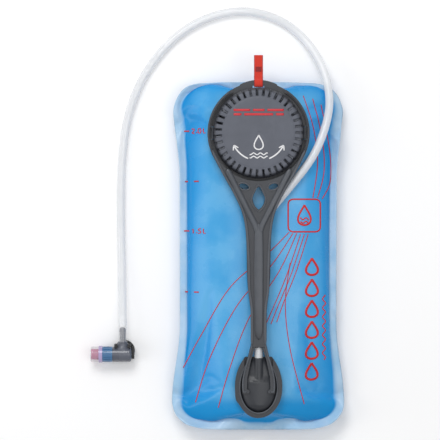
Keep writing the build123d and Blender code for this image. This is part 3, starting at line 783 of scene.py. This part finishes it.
marks = dict(levels=[(118.3, "2.0 L"), (13.3, "1.5 L")], halves=[65.3, -50.8], scaleX=-73.5,
             levelTick=(-4.5, 1), halfTicks=((-3.5, -0.5), (6, 11)), tickInk=1.3,
             figure=3.0, figureSpot=(3.4, -2.4), figureInk=0.95,
             badge=(48.0, 29.5), badgeHalf=17.0, badgeCorner=5.0, badgeInk=1.5,
             badgeDrop=dict(up=0.5, half=7.5, tall=21, ink=1.9),
             badgeWaves=((-7, 4, 18), (-3.4, 4.5, 18)), badgeSwing=1.2, badgeWaveInk=1.3,
             drops=6, dropX=56.0, dropTop=-24.0, dropStep=22.0, dropHalf=7.0, dropTall=17.5, dropInk=2.3,
             wave=dict(x=69.0, fromFoot=12, fromTop=-30, swing=1.7, length=9.5, ink=1.1),
             fanInk=0.8, fan=[
                 [(32, 12), (8, -12), (-30, -46), (-60, -96), (-79, -131)],
                 [(36, 11), (14, -22), (-22, -64), (-50, -118), (-66, -167)],
                 [(40, 11), (22, -28), (-10, -78), (-30, -130), (-42, -172)],
                 [(44, 10), (29, -34), (14, -70), (4, -92)],
                 [(48, 10), (34, -32), (20, -66), (13, -84)],
                 [(52, 10), (39, -30), (26, -62), (19, -82)],
                 [(33, -20), (28, -62), (33, -110), (48, -168)],
                 [(47, 155), (58, 120), (62, 84), (57, 48)],
                 [(57, 152), (67, 112), (69, 76), (62, 48)],
                 [(66, 146), (75, 100), (76, 66), (67, 47)]])


def bagPrint(k):
    # the volume scale, a badge with a drop and waves, a row of drops with a wavy line beside it, and
    # a loose fan of thin lines
    strokes = []
    left = k["scaleX"]
    for y, words in k["levels"]:
        strokes.append(inkStroke([(left + x, y) for x in k["levelTick"]], k["tickInk"]))
        x, down = k["figureSpot"]
        strokes += figureStrokes(words, left + x, y + down, k["figure"], k["figureInk"])
    for y in k["halves"]:
        strokes += [inkStroke([(left + a, y), (left + b, y)], k["tickInk"]) for a, b in k["halfTicks"]]
    (x, y), drop, wave = k["badge"], k["badgeDrop"], k["wave"]
    badge = roundBox(x, y, k["badgeHalf"], k["badgeHalf"], k["badgeCorner"])
    strokes.append(inkStroke(badge, k["badgeInk"], True))
    strokes.append(inkStroke(dropLine(x, y + drop["up"], drop["half"], drop["tall"]), drop["ink"]))
    strokes += [inkStroke(ripple(x, y + up, half, k["badgeSwing"], 1, count), k["badgeWaveInk"])
                for up, half, count in k["badgeWaves"]]
    heights = k["dropTop"] - k["dropStep"] * np.arange(k["drops"])
    strokes += [inkStroke(dropLine(k["dropX"], y, k["dropHalf"], k["dropTall"]), k["dropInk"])
                for y in heights]
    low, high = heights[-1] + wave["fromFoot"], k["dropTop"] + wave["fromTop"]
    strokes.append(inkStroke(waveLine(wave["x"], low, high, wave["swing"], wave["length"]), wave["ink"]))
    return strokes + [inkStroke(smoothPath(knots, 60), k["fanInk"]) for knots in k["fan"]]


inkRed = inkMaterial("inkRed", ink["red"])
bagInk = layOn(printPiece("bagPrint", bagPrint(marks), inkRed, forkTop / mm + 10), frontFilm)
thicken(bagInk, ink["thick"])
belong(bagInk, "reservoir", "film")
print("bag printed")


def hoseMaterial():
    # clear tube: pale grey with faint cloudiness, glossy, and part of what is behind it shows
    m, tree, shader = newMaterial("hoseClear")
    normal, mottle, scuff = grain(tree, 300, 0.05)
    tree.links.new(mixColour(tree, mottle, linear(*hose["grey"]), linear(*hose["pale"])),
                   shader.inputs["Base Color"])
    tree.links.new(ramp(tree, scuff, 0, 1, 0.14, 0.3), shader.inputs["Roughness"])
    tree.links.new(normal, shader.inputs["Normal"])
    shader.inputs["Coat Weight"].default_value = 0.5
    place = tree.nodes.new("ShaderNodeSeparateXYZ")
    tree.links.new(tree.nodes.new("ShaderNodeTexCoord").outputs["Object"], place.inputs["Vector"])
    onBarb = arithmetic(tree, "MULTIPLY", ramp(tree, place.outputs["Y"], *hose["barbY"], 1, 0),
                        ramp(tree, place.outputs["X"], *hose["barbX"], 1, 0))
    tree.links.new(ramp(tree, onBarb, 0, 1, hose["alpha"], hose["barbAlpha"]), shader.inputs["Alpha"])
    return m


hosePiece = hoseCurve("hoseTube")
hosePiece.data.bevel_depth = hose["radius"]
hosePiece.data.bevel_resolution = 7
hosePiece.data.use_fill_caps = True
hosePiece.data.materials.append(hoseMaterial())
belong(hosePiece, "reservoir", "hose_clear", "hose")
print("hose laid")

gusset = dict(x=-143.0, z=14.0, sides=48, y=(-105.3, -105.3, -107.2, -109.5, -113, -117, -117),
              halfX=(0, 5.4, 6.5, 8.0, 9.1, 9.5, 0), halfZ=(0, 5.4, 5.9, 6.6, 7.2, 7.5, 0))


def buildGusset(g):
    # the elbow's neck widens sideways into the barrel: ellipses whose half widths grow along it
    a = np.arange(g["sides"]) * 2 * np.pi / g["sides"]
    x = g["x"] + np.array(g["halfX"])[:, None] * np.cos(a)
    z = g["z"] + np.array(g["halfZ"])[:, None] * np.sin(a)
    y = np.repeat(np.array(g["y"])[:, None], g["sides"], 1)
    grid = np.stack([x, y, z], axis=-1) * mm
    piece = meshPiece("elbowGusset", grid, faceGrid(*x.shape, True), valveGrey)
    return belong(closeUp(piece), "elbow", "valve_grey")


buildGusset(gusset)
print("elbow built")

cap = dict(notches=39, perNotch=14, notchIn=38.4, notchOut=44.0, notchHalf=1.15, notchSoft=0.35,
           notchDeep=2.7, notchPull=0.85, notchFoot=3.2, flat=37.0, shoulder=42.4, shade=0.7, fall=7.2,
           wall=2.8, roof=2.3, crownRise=0.25, crownR=38.0, rimDown=0.35, edgeIn=0.3,
           gateR=(0, 0.9, 1.25, 1.6), gateDown=(0.25, 0.2, 0.05), topR=(4, 10, 18, 26, 33, 36.2),
           grooveR=(37.4, 37.9), grooveDown=(0.1, 0.3, 0.1), rimFrom=38.3, rimRows=14, skirtRows=7,
           roofR=20)


def capProfile(c):
    # radius and height of the cap's section, from its centre over the top, down the skirt, and back
    # up inside to the centre again
    top, foot, roof = capHigh[2] / mm, capLow[2] / mm, capHigh[2] / mm - c["roof"]
    edge = capRadius / mm
    inner = np.array([*c["gateR"], *c["topR"], c["flat"], *c["grooveR"]])
    dome = top - c["crownRise"] * (inner / c["crownR"]) ** 2
    dome[:3] -= c["gateDown"]
    dome[-3:] -= c["grooveDown"]
    rim = np.linspace(c["rimFrom"], c["shoulder"], c["rimRows"])
    turn = np.linspace(0, np.pi / 2, 9)[1:]
    outR = np.concatenate([inner, rim, c["shoulder"] + (edge - c["shoulder"]) * np.sin(turn)])
    rimZ = top - c["rimDown"]
    outZ = np.concatenate([dome, np.full(c["rimRows"], rimZ), rimZ - c["fall"] * (1 - np.cos(turn))])
    downZ = np.linspace(outZ[-1], foot, c["skirtRows"] + 1)[1:]
    wall = edge - c["wall"]
    r = np.concatenate([outR, np.full(c["skirtRows"], edge), [edge - c["edgeIn"], wall, wall, c["roofR"], 0]])
    return r, np.concatenate([outZ, downZ, [foot, foot, roof, roof, roof]])


def buildCap(c):
    # the section carried round the cap's axis; each notch pushes the surface down by a smooth-sided
    # trench and pulls the shoulder in
    r, z = capProfile(c)
    cols = c["notches"] * c["perNotch"]
    angle = np.arange(cols) * 2 * np.pi / cols
    off = (np.arange(cols) / c["perNotch"] + 0.5) % 1 - 0.5
    across = np.abs(off[None, :] * 2 * np.pi / c["notches"] * r[:, None])
    outside = np.arange(len(r)) < len(r) - 5
    depth = blendIn(c["notchHalf"] + c["notchSoft"], c["notchHalf"] - c["notchSoft"], across)
    depth = depth * (blendIn(c["notchIn"] - 0.3, c["notchIn"] + 0.5, r) * outside)[:, None]
    low = capHigh[2] / mm - c["rimDown"] - c["notchDeep"]
    zz = np.repeat(z[:, None], cols, 1)
    rr = np.repeat(r[:, None], cols, 1)
    cut = depth * blendIn(low - c["notchFoot"], low - 0.6, zz)
    rr = rr - cut * np.maximum(rr - c["notchOut"], 0) * c["notchPull"]
    zz = np.where(zz > low, zz - cut * (zz - low) * 0.96, zz)
    grid = np.stack([capSpot[0] / mm + rr * np.cos(angle), capSpot[1] / mm + rr * np.sin(angle), zz], axis=-1)
    obj = meshPiece("capTop", grid * mm, faceGrid(len(r), cols, True), capGrey)
    # painted shade: the notch trenches and the skirt past the shoulder are marked to take capGrey's darker
    # low colour
    shade = c["shade"] * blendIn(c["shoulder"] + 0.6, c["shoulder"] + 3.4, rr)
    setAttribute(obj, "shadeByRelief", 1 - np.maximum(cut, shade))
    return belong(closeUp(obj), "cap", "cap_plastic", "cap_shell")


buildCap(cap)

capInk = dict(white=(226, 226, 228), red=(198, 36, 46), lift=0.064, thick=0.00008, barY=20.3, barInk=2.4,
              bars=((3.2, (-26, -9)), (3.2, (-6, 6)), (3.2, (9, 26)),
                    (-1.2, (-26, -18)), (-1.2, (-15, 15)), (-1.2, (18, 26))),
              arrowR=29.0, arrows=((-152, -112), (-68, -28)), arrowTips=((-152, -1), (-28, 1)),
              arrowInk=1.5, tipInk=1.3, tipBack=4, tipSide=3, tipOn=0.8,
              drop=dict(y=-10, half=5.2, tall=15, ink=1.4),
              waves=dict(y=(-22, -25.4), half=9.5, swing=1.1, turn=0.9, points=36, ink=1.2))


def capHeight(x, y):
    # the cap's gently domed top
    away = np.hypot(x - capSpot[0] / mm, y - capSpot[1] / mm)
    return capHigh[2] / mm - cap["crownRise"] * (away / cap["crownR"]) ** 2 + capInk["lift"]


def arcLine(radius, low, high):
    # part of a circle about the cap's axis, from one angle to another in degrees
    a = np.radians(np.linspace(low, high, 30))
    return np.column_stack([capSpot[0] / mm + radius * np.cos(a), capSpot[1] / mm + radius * np.sin(a)])


def arrowHead(k, angle, turn):
    # a V whose tip lies ahead of the arc's end
    a = math.radians(angle)
    out = np.array([math.cos(a), math.sin(a)])
    tip = capSpot[:2] / mm + k["arrowR"] * out
    way = turn * np.array([-out[1], out[0]])
    back, side = way * k["tipBack"], out * k["tipSide"]
    return np.array([tip - back + side, tip + way * k["tipOn"], tip - back - side])


def capMarks(k):
    # red: two broken bars; white: two turning arrows, and a drop over two waves
    x, y = capSpot[0] / mm, capSpot[1] / mm
    red = [inkStroke([(x + a, y + k["barY"] + up), (x + b, y + k["barY"] + up)], k["barInk"])
           for up, (a, b) in k["bars"]]
    drop, waves = k["drop"], k["waves"]
    white = [inkStroke(arcLine(k["arrowR"], *ends), k["arrowInk"]) for ends in k["arrows"]]
    white += [inkStroke(arrowHead(k, *tip), k["tipInk"]) for tip in k["arrowTips"]]
    white.append(inkStroke(dropLine(x, y + drop["y"], drop["half"], drop["tall"]), drop["ink"]))
    white += [inkStroke(ripple(x, y + up, waves["half"], waves["swing"], waves["turn"], waves["points"]),
                        waves["ink"]) for up in waves["y"]]
    return (("capPrintRed", red, k["red"]), ("capPrintWhite", white, k["white"]))


for name, strokes, colour in capMarks(capInk):
    mark = printPiece(name, strokes, inkMaterial(name + "Ink", colour), capHeight)
    thicken(mark, capInk["thick"])
    belong(mark, "cap", "cap_plastic")
print("cap built")

handle = dict(plate=forkTop / mm, inset=1.5, edgeHalf=1.4, edgeHigh=1.1, armHalf=3.1, armHigh=1.9,
              lipHalf=0.8, eyeLipHigh=0.6, dropLipHigh=0.7,
              eyeHalf=(5.9, 3.6), eyeSpot=(15.2, 59.6), eyeTilt=18,
              flank=[(50, 98), (38, 73.5), (27, 54), (16.5, 30), (12.8, 4), (11.6, -24), (11, -48),
                     (8.7, -66), (8.4, -86), (8.4, -106)],
              arm=[(33.4, 78.6), (31.2, 74.2), (24.8, 61.6), (18.4, 49), (12.2, 36.8), (7, 26.5), (3, 18),
                   (1.2, 9)],
              spineY=[22, 10, -20, -48, -70, -90, -100], spineHalf=[3.4, 4.6, 5.0, 4.9, 4.7, 4.5, 4.2],
              spineHigh=[1.6, 1.8, 1.8, 1.6, 1.1, 0.8, 0.7],
              drop=[(0, 61), (4.6, 54), (7.4, 45.5), (4.6, 38), (0, 33.8), (-4.6, 38), (-7.4, 45.5),
                    (-4.6, 54)])


def ribPath(knots, count):
    # a smooth line through the knots with its points a rib's step apart
    return evenPath(smoothPath(knots, count), rib["step"])


def buildHandle(h):
    # ribs on the moulding's face: a bead along each flank, a ridge down each arm from the collar that
    # meets the other above the spine, a broad rib down the spine, and lips round the openings
    top = h["plate"]
    made = []
    for side, word in bothSides:
        flank = (np.array(h["flank"]) - (h["inset"], 0)) * (side, 1)
        made.append(ridge("flankBead" + word, ribPath(flank, 160), h["edgeHalf"], h["edgeHigh"], top,
                          handleRibPaintedLight, 0.04))
        made.append(ridge("armRib" + word, ribPath(np.array(h["arm"]) * (side, 1), 120), h["armHalf"],
                          h["armHigh"], top, handleRibPaintedLight, 0.1))
        around = np.linspace(0, 2 * np.pi, 40, endpoint=False)
        tilt = math.radians(h["eyeTilt"] * side)
        eye = np.column_stack([h["eyeHalf"][0] * np.cos(around), h["eyeHalf"][1] * np.sin(around)])
        eye = eye @ np.array([[math.cos(tilt), math.sin(tilt)], [-math.sin(tilt), math.cos(tilt)]])
        made.append(ridge("eyeLip" + word, eye + np.array(h["eyeSpot"]) * (side, 1), h["lipHalf"],
                          h["eyeLipHigh"], top, handleRibPaintedLight, closed=True))
    y = np.array(h["spineY"])
    path = ribPath(np.column_stack([np.zeros(len(y)), y]), 100)
    half, high = (np.interp(-path[:, 1], -y, h[k]) for k in ("spineHalf", "spineHigh"))
    made.append(ridge("spineRib", path, half, high, top, handleRibPaintedLight, 0.1, power=0.55))
    made.append(ridge("dropLip", smoothPath(h["drop"], 60, True), h["lipHalf"], h["dropLipHigh"], top,
                      handleRibPaintedLight, closed=True))
    return made


for moulded in buildHandle(handle):
    belong(moulded, "reservoir", "handle_plastic")

collar = dict(radius=51.8, wallTop=51.8, opening=(124, 416), beadHalf=1.1, beadHigh=0.9, latchIn=2.0,
              latchHalf=(1.7, 7.0), latchCorner=0.9, latchLip=(0.55, 1.5))


def buildCollar(c):
    # a bead on the collar's wall, open towards the tab, and a latch frame on each side of the wall
    a = np.radians(np.linspace(*c["opening"], 220))
    path = capSpot[:2] / mm + c["radius"] * np.column_stack([np.cos(a), np.sin(a)])
    made = [ridge("collarBead", path, c["beadHalf"], c["beadHigh"], c["wallTop"], handleDark, 0.02)]
    for side, word in bothSides:
        frameLine = roundBox(side * (c["radius"] - c["latchIn"]), capSpot[1] / mm, *c["latchHalf"],
                             c["latchCorner"])
        made.append(ridge("latchFrame" + word, frameLine, *c["latchLip"], c["wallTop"], handleRibPaintedLight,
                          closed=True))
    return made


for moulded in buildCollar(collar):
    belong(moulded, "reservoir", "handle_plastic")
print("handle built")

port = dict(middle=-150.5, half=24.6, foot=31.0, head=32.5, topHalf=14.0, inset=6.0, floor=48.6, dome=6.9,
            headDrop=0.42, tunnelR=5.5, tunnelTo=-143.0, hoseZ=49.0, wall=0.0009, rows=72, cols=61,
            lipIn=5.0, lipHalf=0.9, lipHigh=0.9, lipZ=51.4, lipY=(27, 1),
            legHalf=1.0, legHigh=1.0, legDown=0.6,
            leg=[(6.6, -104), (9.2, -115), (13.4, -129), (16.0, -141), (16.2, -150.5), (15.2, -154),
                 (11.6, -153.6)])


def portHalfWidth(y, inset):
    # half width of the port's outline drawn in by the inset: an oval foot below its middle, and flanks
    # that close towards the head above it
    half, foot, head = port["half"] - inset, port["foot"] - inset, port["head"] - inset * 0.6
    down = np.clip((port["middle"] - y) / foot, 0, 1)
    upward = np.clip((y - port["middle"]) / head, 0, 1)
    flank = half - (half - port["topHalf"] + inset) * upward**2.2
    return np.where(y < port["middle"], half * np.sqrt(1 - down**2), flank)


def buildShield(p):
    # a shield that fills the port: a dome over the outlet boss, lower by the head, with a round
    # tunnel for the hose along its middle that ends in a step
    foot = p["middle"] - p["foot"] + p["inset"]
    head = p["middle"] + p["head"] - 1.0
    y = foot + (head - foot) * 0.5 * (1 - np.cos(np.linspace(0, np.pi, p["rows"])))
    u = np.sin(np.linspace(-np.pi / 2, np.pi / 2, p["cols"]))
    x = u[None, :] * np.maximum(portHalfWidth(y, p["inset"]), 0.4)[:, None]
    yy = np.repeat(y[:, None], len(u), 1)
    bulge = np.clip(1 - u**2, 0, 1)[None, :] ** 0.62
    lower = 1 - p["headDrop"] * blendIn(p["tunnelTo"] - 2, p["tunnelTo"] + 6, yy)
    z = p["floor"] + p["dome"] * bulge * (blendIn(foot - 2.5, foot + 8, yy) * lower)
    tunnel = p["hoseZ"] + np.sqrt(np.clip(p["tunnelR"]**2 - x**2, 0, None))
    z = np.maximum(z, np.where((np.abs(x) < p["tunnelR"]) & (yy > p["tunnelTo"]), tunnel, 0))
    shield = meshPiece("portShield", np.stack([x, yy, z], axis=-1) * mm, faceGrid(*x.shape), portSkin)
    wall = shield.modifiers.new("Solidify", "SOLIDIFY")
    wall.thickness = p["wall"]
    wall.offset = -1
    return belong(shield, "reservoir", "port_plastic", "port_bezel")


def buildPortLips(p):
    # a bead just inside the port's rim, and one along each leg of the handle's fork down to its hook
    a = np.linspace(0, -np.pi, 60)[1:-1]
    flankY = p["middle"] + np.linspace(*p["lipY"], 16)
    rimY = np.concatenate([flankY, p["middle"] + (p["foot"] - p["lipIn"]) * np.sin(a), flankY[::-1]])
    rimX = portHalfWidth(rimY, p["lipIn"]) * np.where(np.arange(len(rimY)) < len(rimY) / 2, 1, -1)
    bead = ridge("portLip", evenPath(np.column_stack([rimX, rimY]), 1.0), p["lipHalf"], p["lipHigh"],
                 p["lipZ"], handleRibPaintedLight, 0.03)
    belong(bead, "reservoir", "port_plastic")
    for side, word in bothSides:
        leg = evenPath(smoothPath(np.array(p["leg"]) * (side, 1), 80), 1.0)
        bead = ridge("forkLip" + word, leg, p["legHalf"], p["legHigh"], forkTop / mm - p["legDown"],
                     handleRibPaintedLight, 0.06)
        belong(bead, "reservoir", "handle_plastic")


buildShield(port)
buildPortLips(port)
print("port built")

strap = dict(half=4.65, thick=1.15, weave=1.1, layer=0.6, belly=1.1, step=0.55, slant=9.0,
             dark=(186, 28, 16), light=(228, 62, 38), selvedge=(150, 16, 18), thread=(140, 14, 16),
             stitches=17, stitchHalf=3.2, stitchStep=0.32, stitchFrom=6.5, threadHalf=0.22, threadHigh=0.3)


def strapMaterial():
    # woven ribbon: slanting yarns that meet in a herringbone, darker along both selvedges
    m, tree, shader = newMaterial("strapRed")
    along, across = attributeValue(tree, "along"), attributeValue(tree, "across")
    side = arithmetic(tree, "ABSOLUTE", across)
    slant = arithmetic(tree, "ADD", arithmetic(tree, "MULTIPLY", along, 2 * math.pi / strap["weave"]),
                       arithmetic(tree, "MULTIPLY", side, strap["slant"]))
    yarn = ramp(tree, arithmetic(tree, "SINE", slant), -1, 1, 0, 1)
    body = mixColour(tree, yarn, linear(*strap["dark"]), linear(*strap["light"]))
    body = mixColour(tree, ramp(tree, side, 0.8, 0.92, 0, 1), body, linear(*strap["selvedge"]))
    tree.links.new(body, shader.inputs["Base Color"])
    shader.inputs["Roughness"].default_value = 0.8
    shader.inputs["Sheen Weight"].default_value = 0.3
    bump = tree.nodes.new("ShaderNodeBump")
    bump.inputs["Strength"].default_value = 0.6
    bump.inputs["Distance"].default_value = 0.0003
    tree.links.new(yarn, bump.inputs["Height"])
    tree.links.new(bump.outputs["Normal"], shader.inputs["Normal"])
    return m


strapRed = strapMaterial()


def ribbon(name, path, material):
    # a flat band whose middle follows a path in the YZ plane (millimetres): its section, an oblong with
    # round edges, stays square to the path
    way = np.gradient(path, axis=0)
    way /= np.linalg.norm(way, axis=1, keepdims=True)
    up = np.stack([-way[:, 1], way[:, 0]], axis=1)
    turn = np.linspace(-np.pi / 2, np.pi / 2, 7)
    thin = strap["thick"] / 2
    edge = strap["half"] - thin
    right = np.column_stack([edge + thin * np.cos(turn), thin * np.sin(turn)])
    flat = np.column_stack([np.linspace(edge, -edge, 9)[1:-1], np.full(7, thin)])
    section = np.concatenate([right, flat, -right, -flat])
    n = len(section)
    x = np.repeat(section[None, :, 0], len(path), 0)
    y, z = (path[:, None, k] + up[:, None, k] * section[None, :, 1] for k in (0, 1))
    ends = [list(range(n))[::-1], list(range((len(path) - 1) * n, len(path) * n))]
    faces = faceGrid(len(path), n, True).tolist() + ends
    obj = meshPiece(name, np.stack([x, y, z], axis=-1) * mm, faces, material)
    setAttribute(obj, "along", np.repeat(runAlong(path), n))
    setAttribute(obj, "across", np.tile(section[:, 0] / strap["half"], len(path)))
    return closeUp(obj)


def buildStrap(b):
    # one ribbon: down the front from the free end, round the tab's bar through its slot, and back up
    # behind to the free end, where the two layers are sewn together
    gap, belly = b["layer"], b["belly"]
    mid = float(strapLow[2] + strapHigh[2]) / 2 / mm
    top, low = strapHigh[1] / mm - 0.1, wrapLow[1] / mm + gap
    front, back = wrapHigh[2] / mm - gap, wrapLow[2] / mm + gap
    bend = wrapHigh[1] / mm + gap
    knots = [(top, mid + gap), (top - 8, mid + gap), (bend + 5, mid + gap), (bend - 0.5, mid + belly),
             (bend - 3, front), (low + 2.6, front), (low + 0.4, front - 0.9), (low, mid),
             (low + 0.4, back + 0.9), (low + 2.6, back), (bend - 3, back), (bend - 0.5, mid - belly),
             (bend + 5, mid - gap), (top - 8, mid - gap), (top, mid - gap)]
    band = ribbon("hangStrap", evenPath(smoothPath(knots, 400), b["step"]), strapRed)
    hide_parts("strap_wrap", "strap_tail")
    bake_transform(band)
    zig = np.arange(b["stitches"])
    stitch = np.column_stack([np.where(zig % 2, b["stitchHalf"], -b["stitchHalf"]),
                              bend + b["stitchFrom"] + zig * b["stitchStep"]])
    tack = ridge("strapTack", evenPath(stitch, 0.3), b["threadHalf"], b["threadHigh"], mid + 1.2,
                 inkMaterial("threadRed", b["thread"]), 0.02)
    belong(tack, "strap", "webbing")


buildStrap(strap)
print("strap built")


def areaLight(name, spot, aim, size, power):
    # a soft rectangle of light that looks from its spot at its aim
    data = bpy.data.lights.new(name, "AREA")
    data.shape = "RECTANGLE"
    data.size, data.size_y = size
    data.energy = power
    obj = bpy.data.objects.new(name, data)
    bpy.context.scene.collection.objects.link(obj)
    obj.rotation_mode = "QUATERNION"
    obj.rotation_quaternion = (Vector(aim) - Vector(spot)).to_track_quat("-Z", "Y")
    obj.location = spot


studio = dict(world=0.52, floor=(0.98, 0.98, 0.985), lamps=[
    ("key", (-0.35, 1.0, 1.5), (0, 0, 0), (0.9, 0.7), 13),
    ("top", (0.4, -0.1, 1.8), (0, 0, 0), (0.8, 1.2), 6),
    ("side", (-1.4, -0.2, 0.8), (0, 0, 0.03), (0.5, 1.2), 4)])
world = bpy.data.worlds.new("studio")
world.use_nodes = True
world.node_tree.nodes["Background"].inputs["Color"].default_value = (1, 1, 1, 1)
world.node_tree.nodes["Background"].inputs["Strength"].default_value = studio["world"]
bpy.context.scene.world = world
for lamp in studio["lamps"]:
    areaLight(*lamp)

floorMat, _, floorShader = newMaterial("floorPale")
floorShader.inputs["Base Color"].default_value = (*studio["floor"], 1)
floorShader.inputs["Roughness"].default_value = 0.75
floorMesh = bpy.data.meshes.new("floor")
floorMesh.from_pydata([(-4, -4, 0), (4, -4, 0), (4, 4, 0), (-4, 4, 0)], [], [(0, 1, 2, 3)])
floorMesh.materials.append(floorMat)
floorPiece = bpy.data.objects.new("floor", floorMesh)
bpy.context.scene.collection.objects.link(floorPiece)

eye = dict(x=-0.0402, y=0.0248, height=2.6, span=0.462, focusZ=0.03)
lens = bpy.data.cameras.new("view")
lens.sensor_width = 36
lens.lens = lens.sensor_width * (eye["height"] - eye["focusZ"]) / eye["span"]
cam = bpy.data.objects.new("view", lens)
cam.location = (eye["x"], eye["y"], eye["height"])
bpy.context.scene.collection.objects.link(cam)
bpy.context.scene.camera = cam
bpy.context.scene.view_settings.view_transform = "Standard"
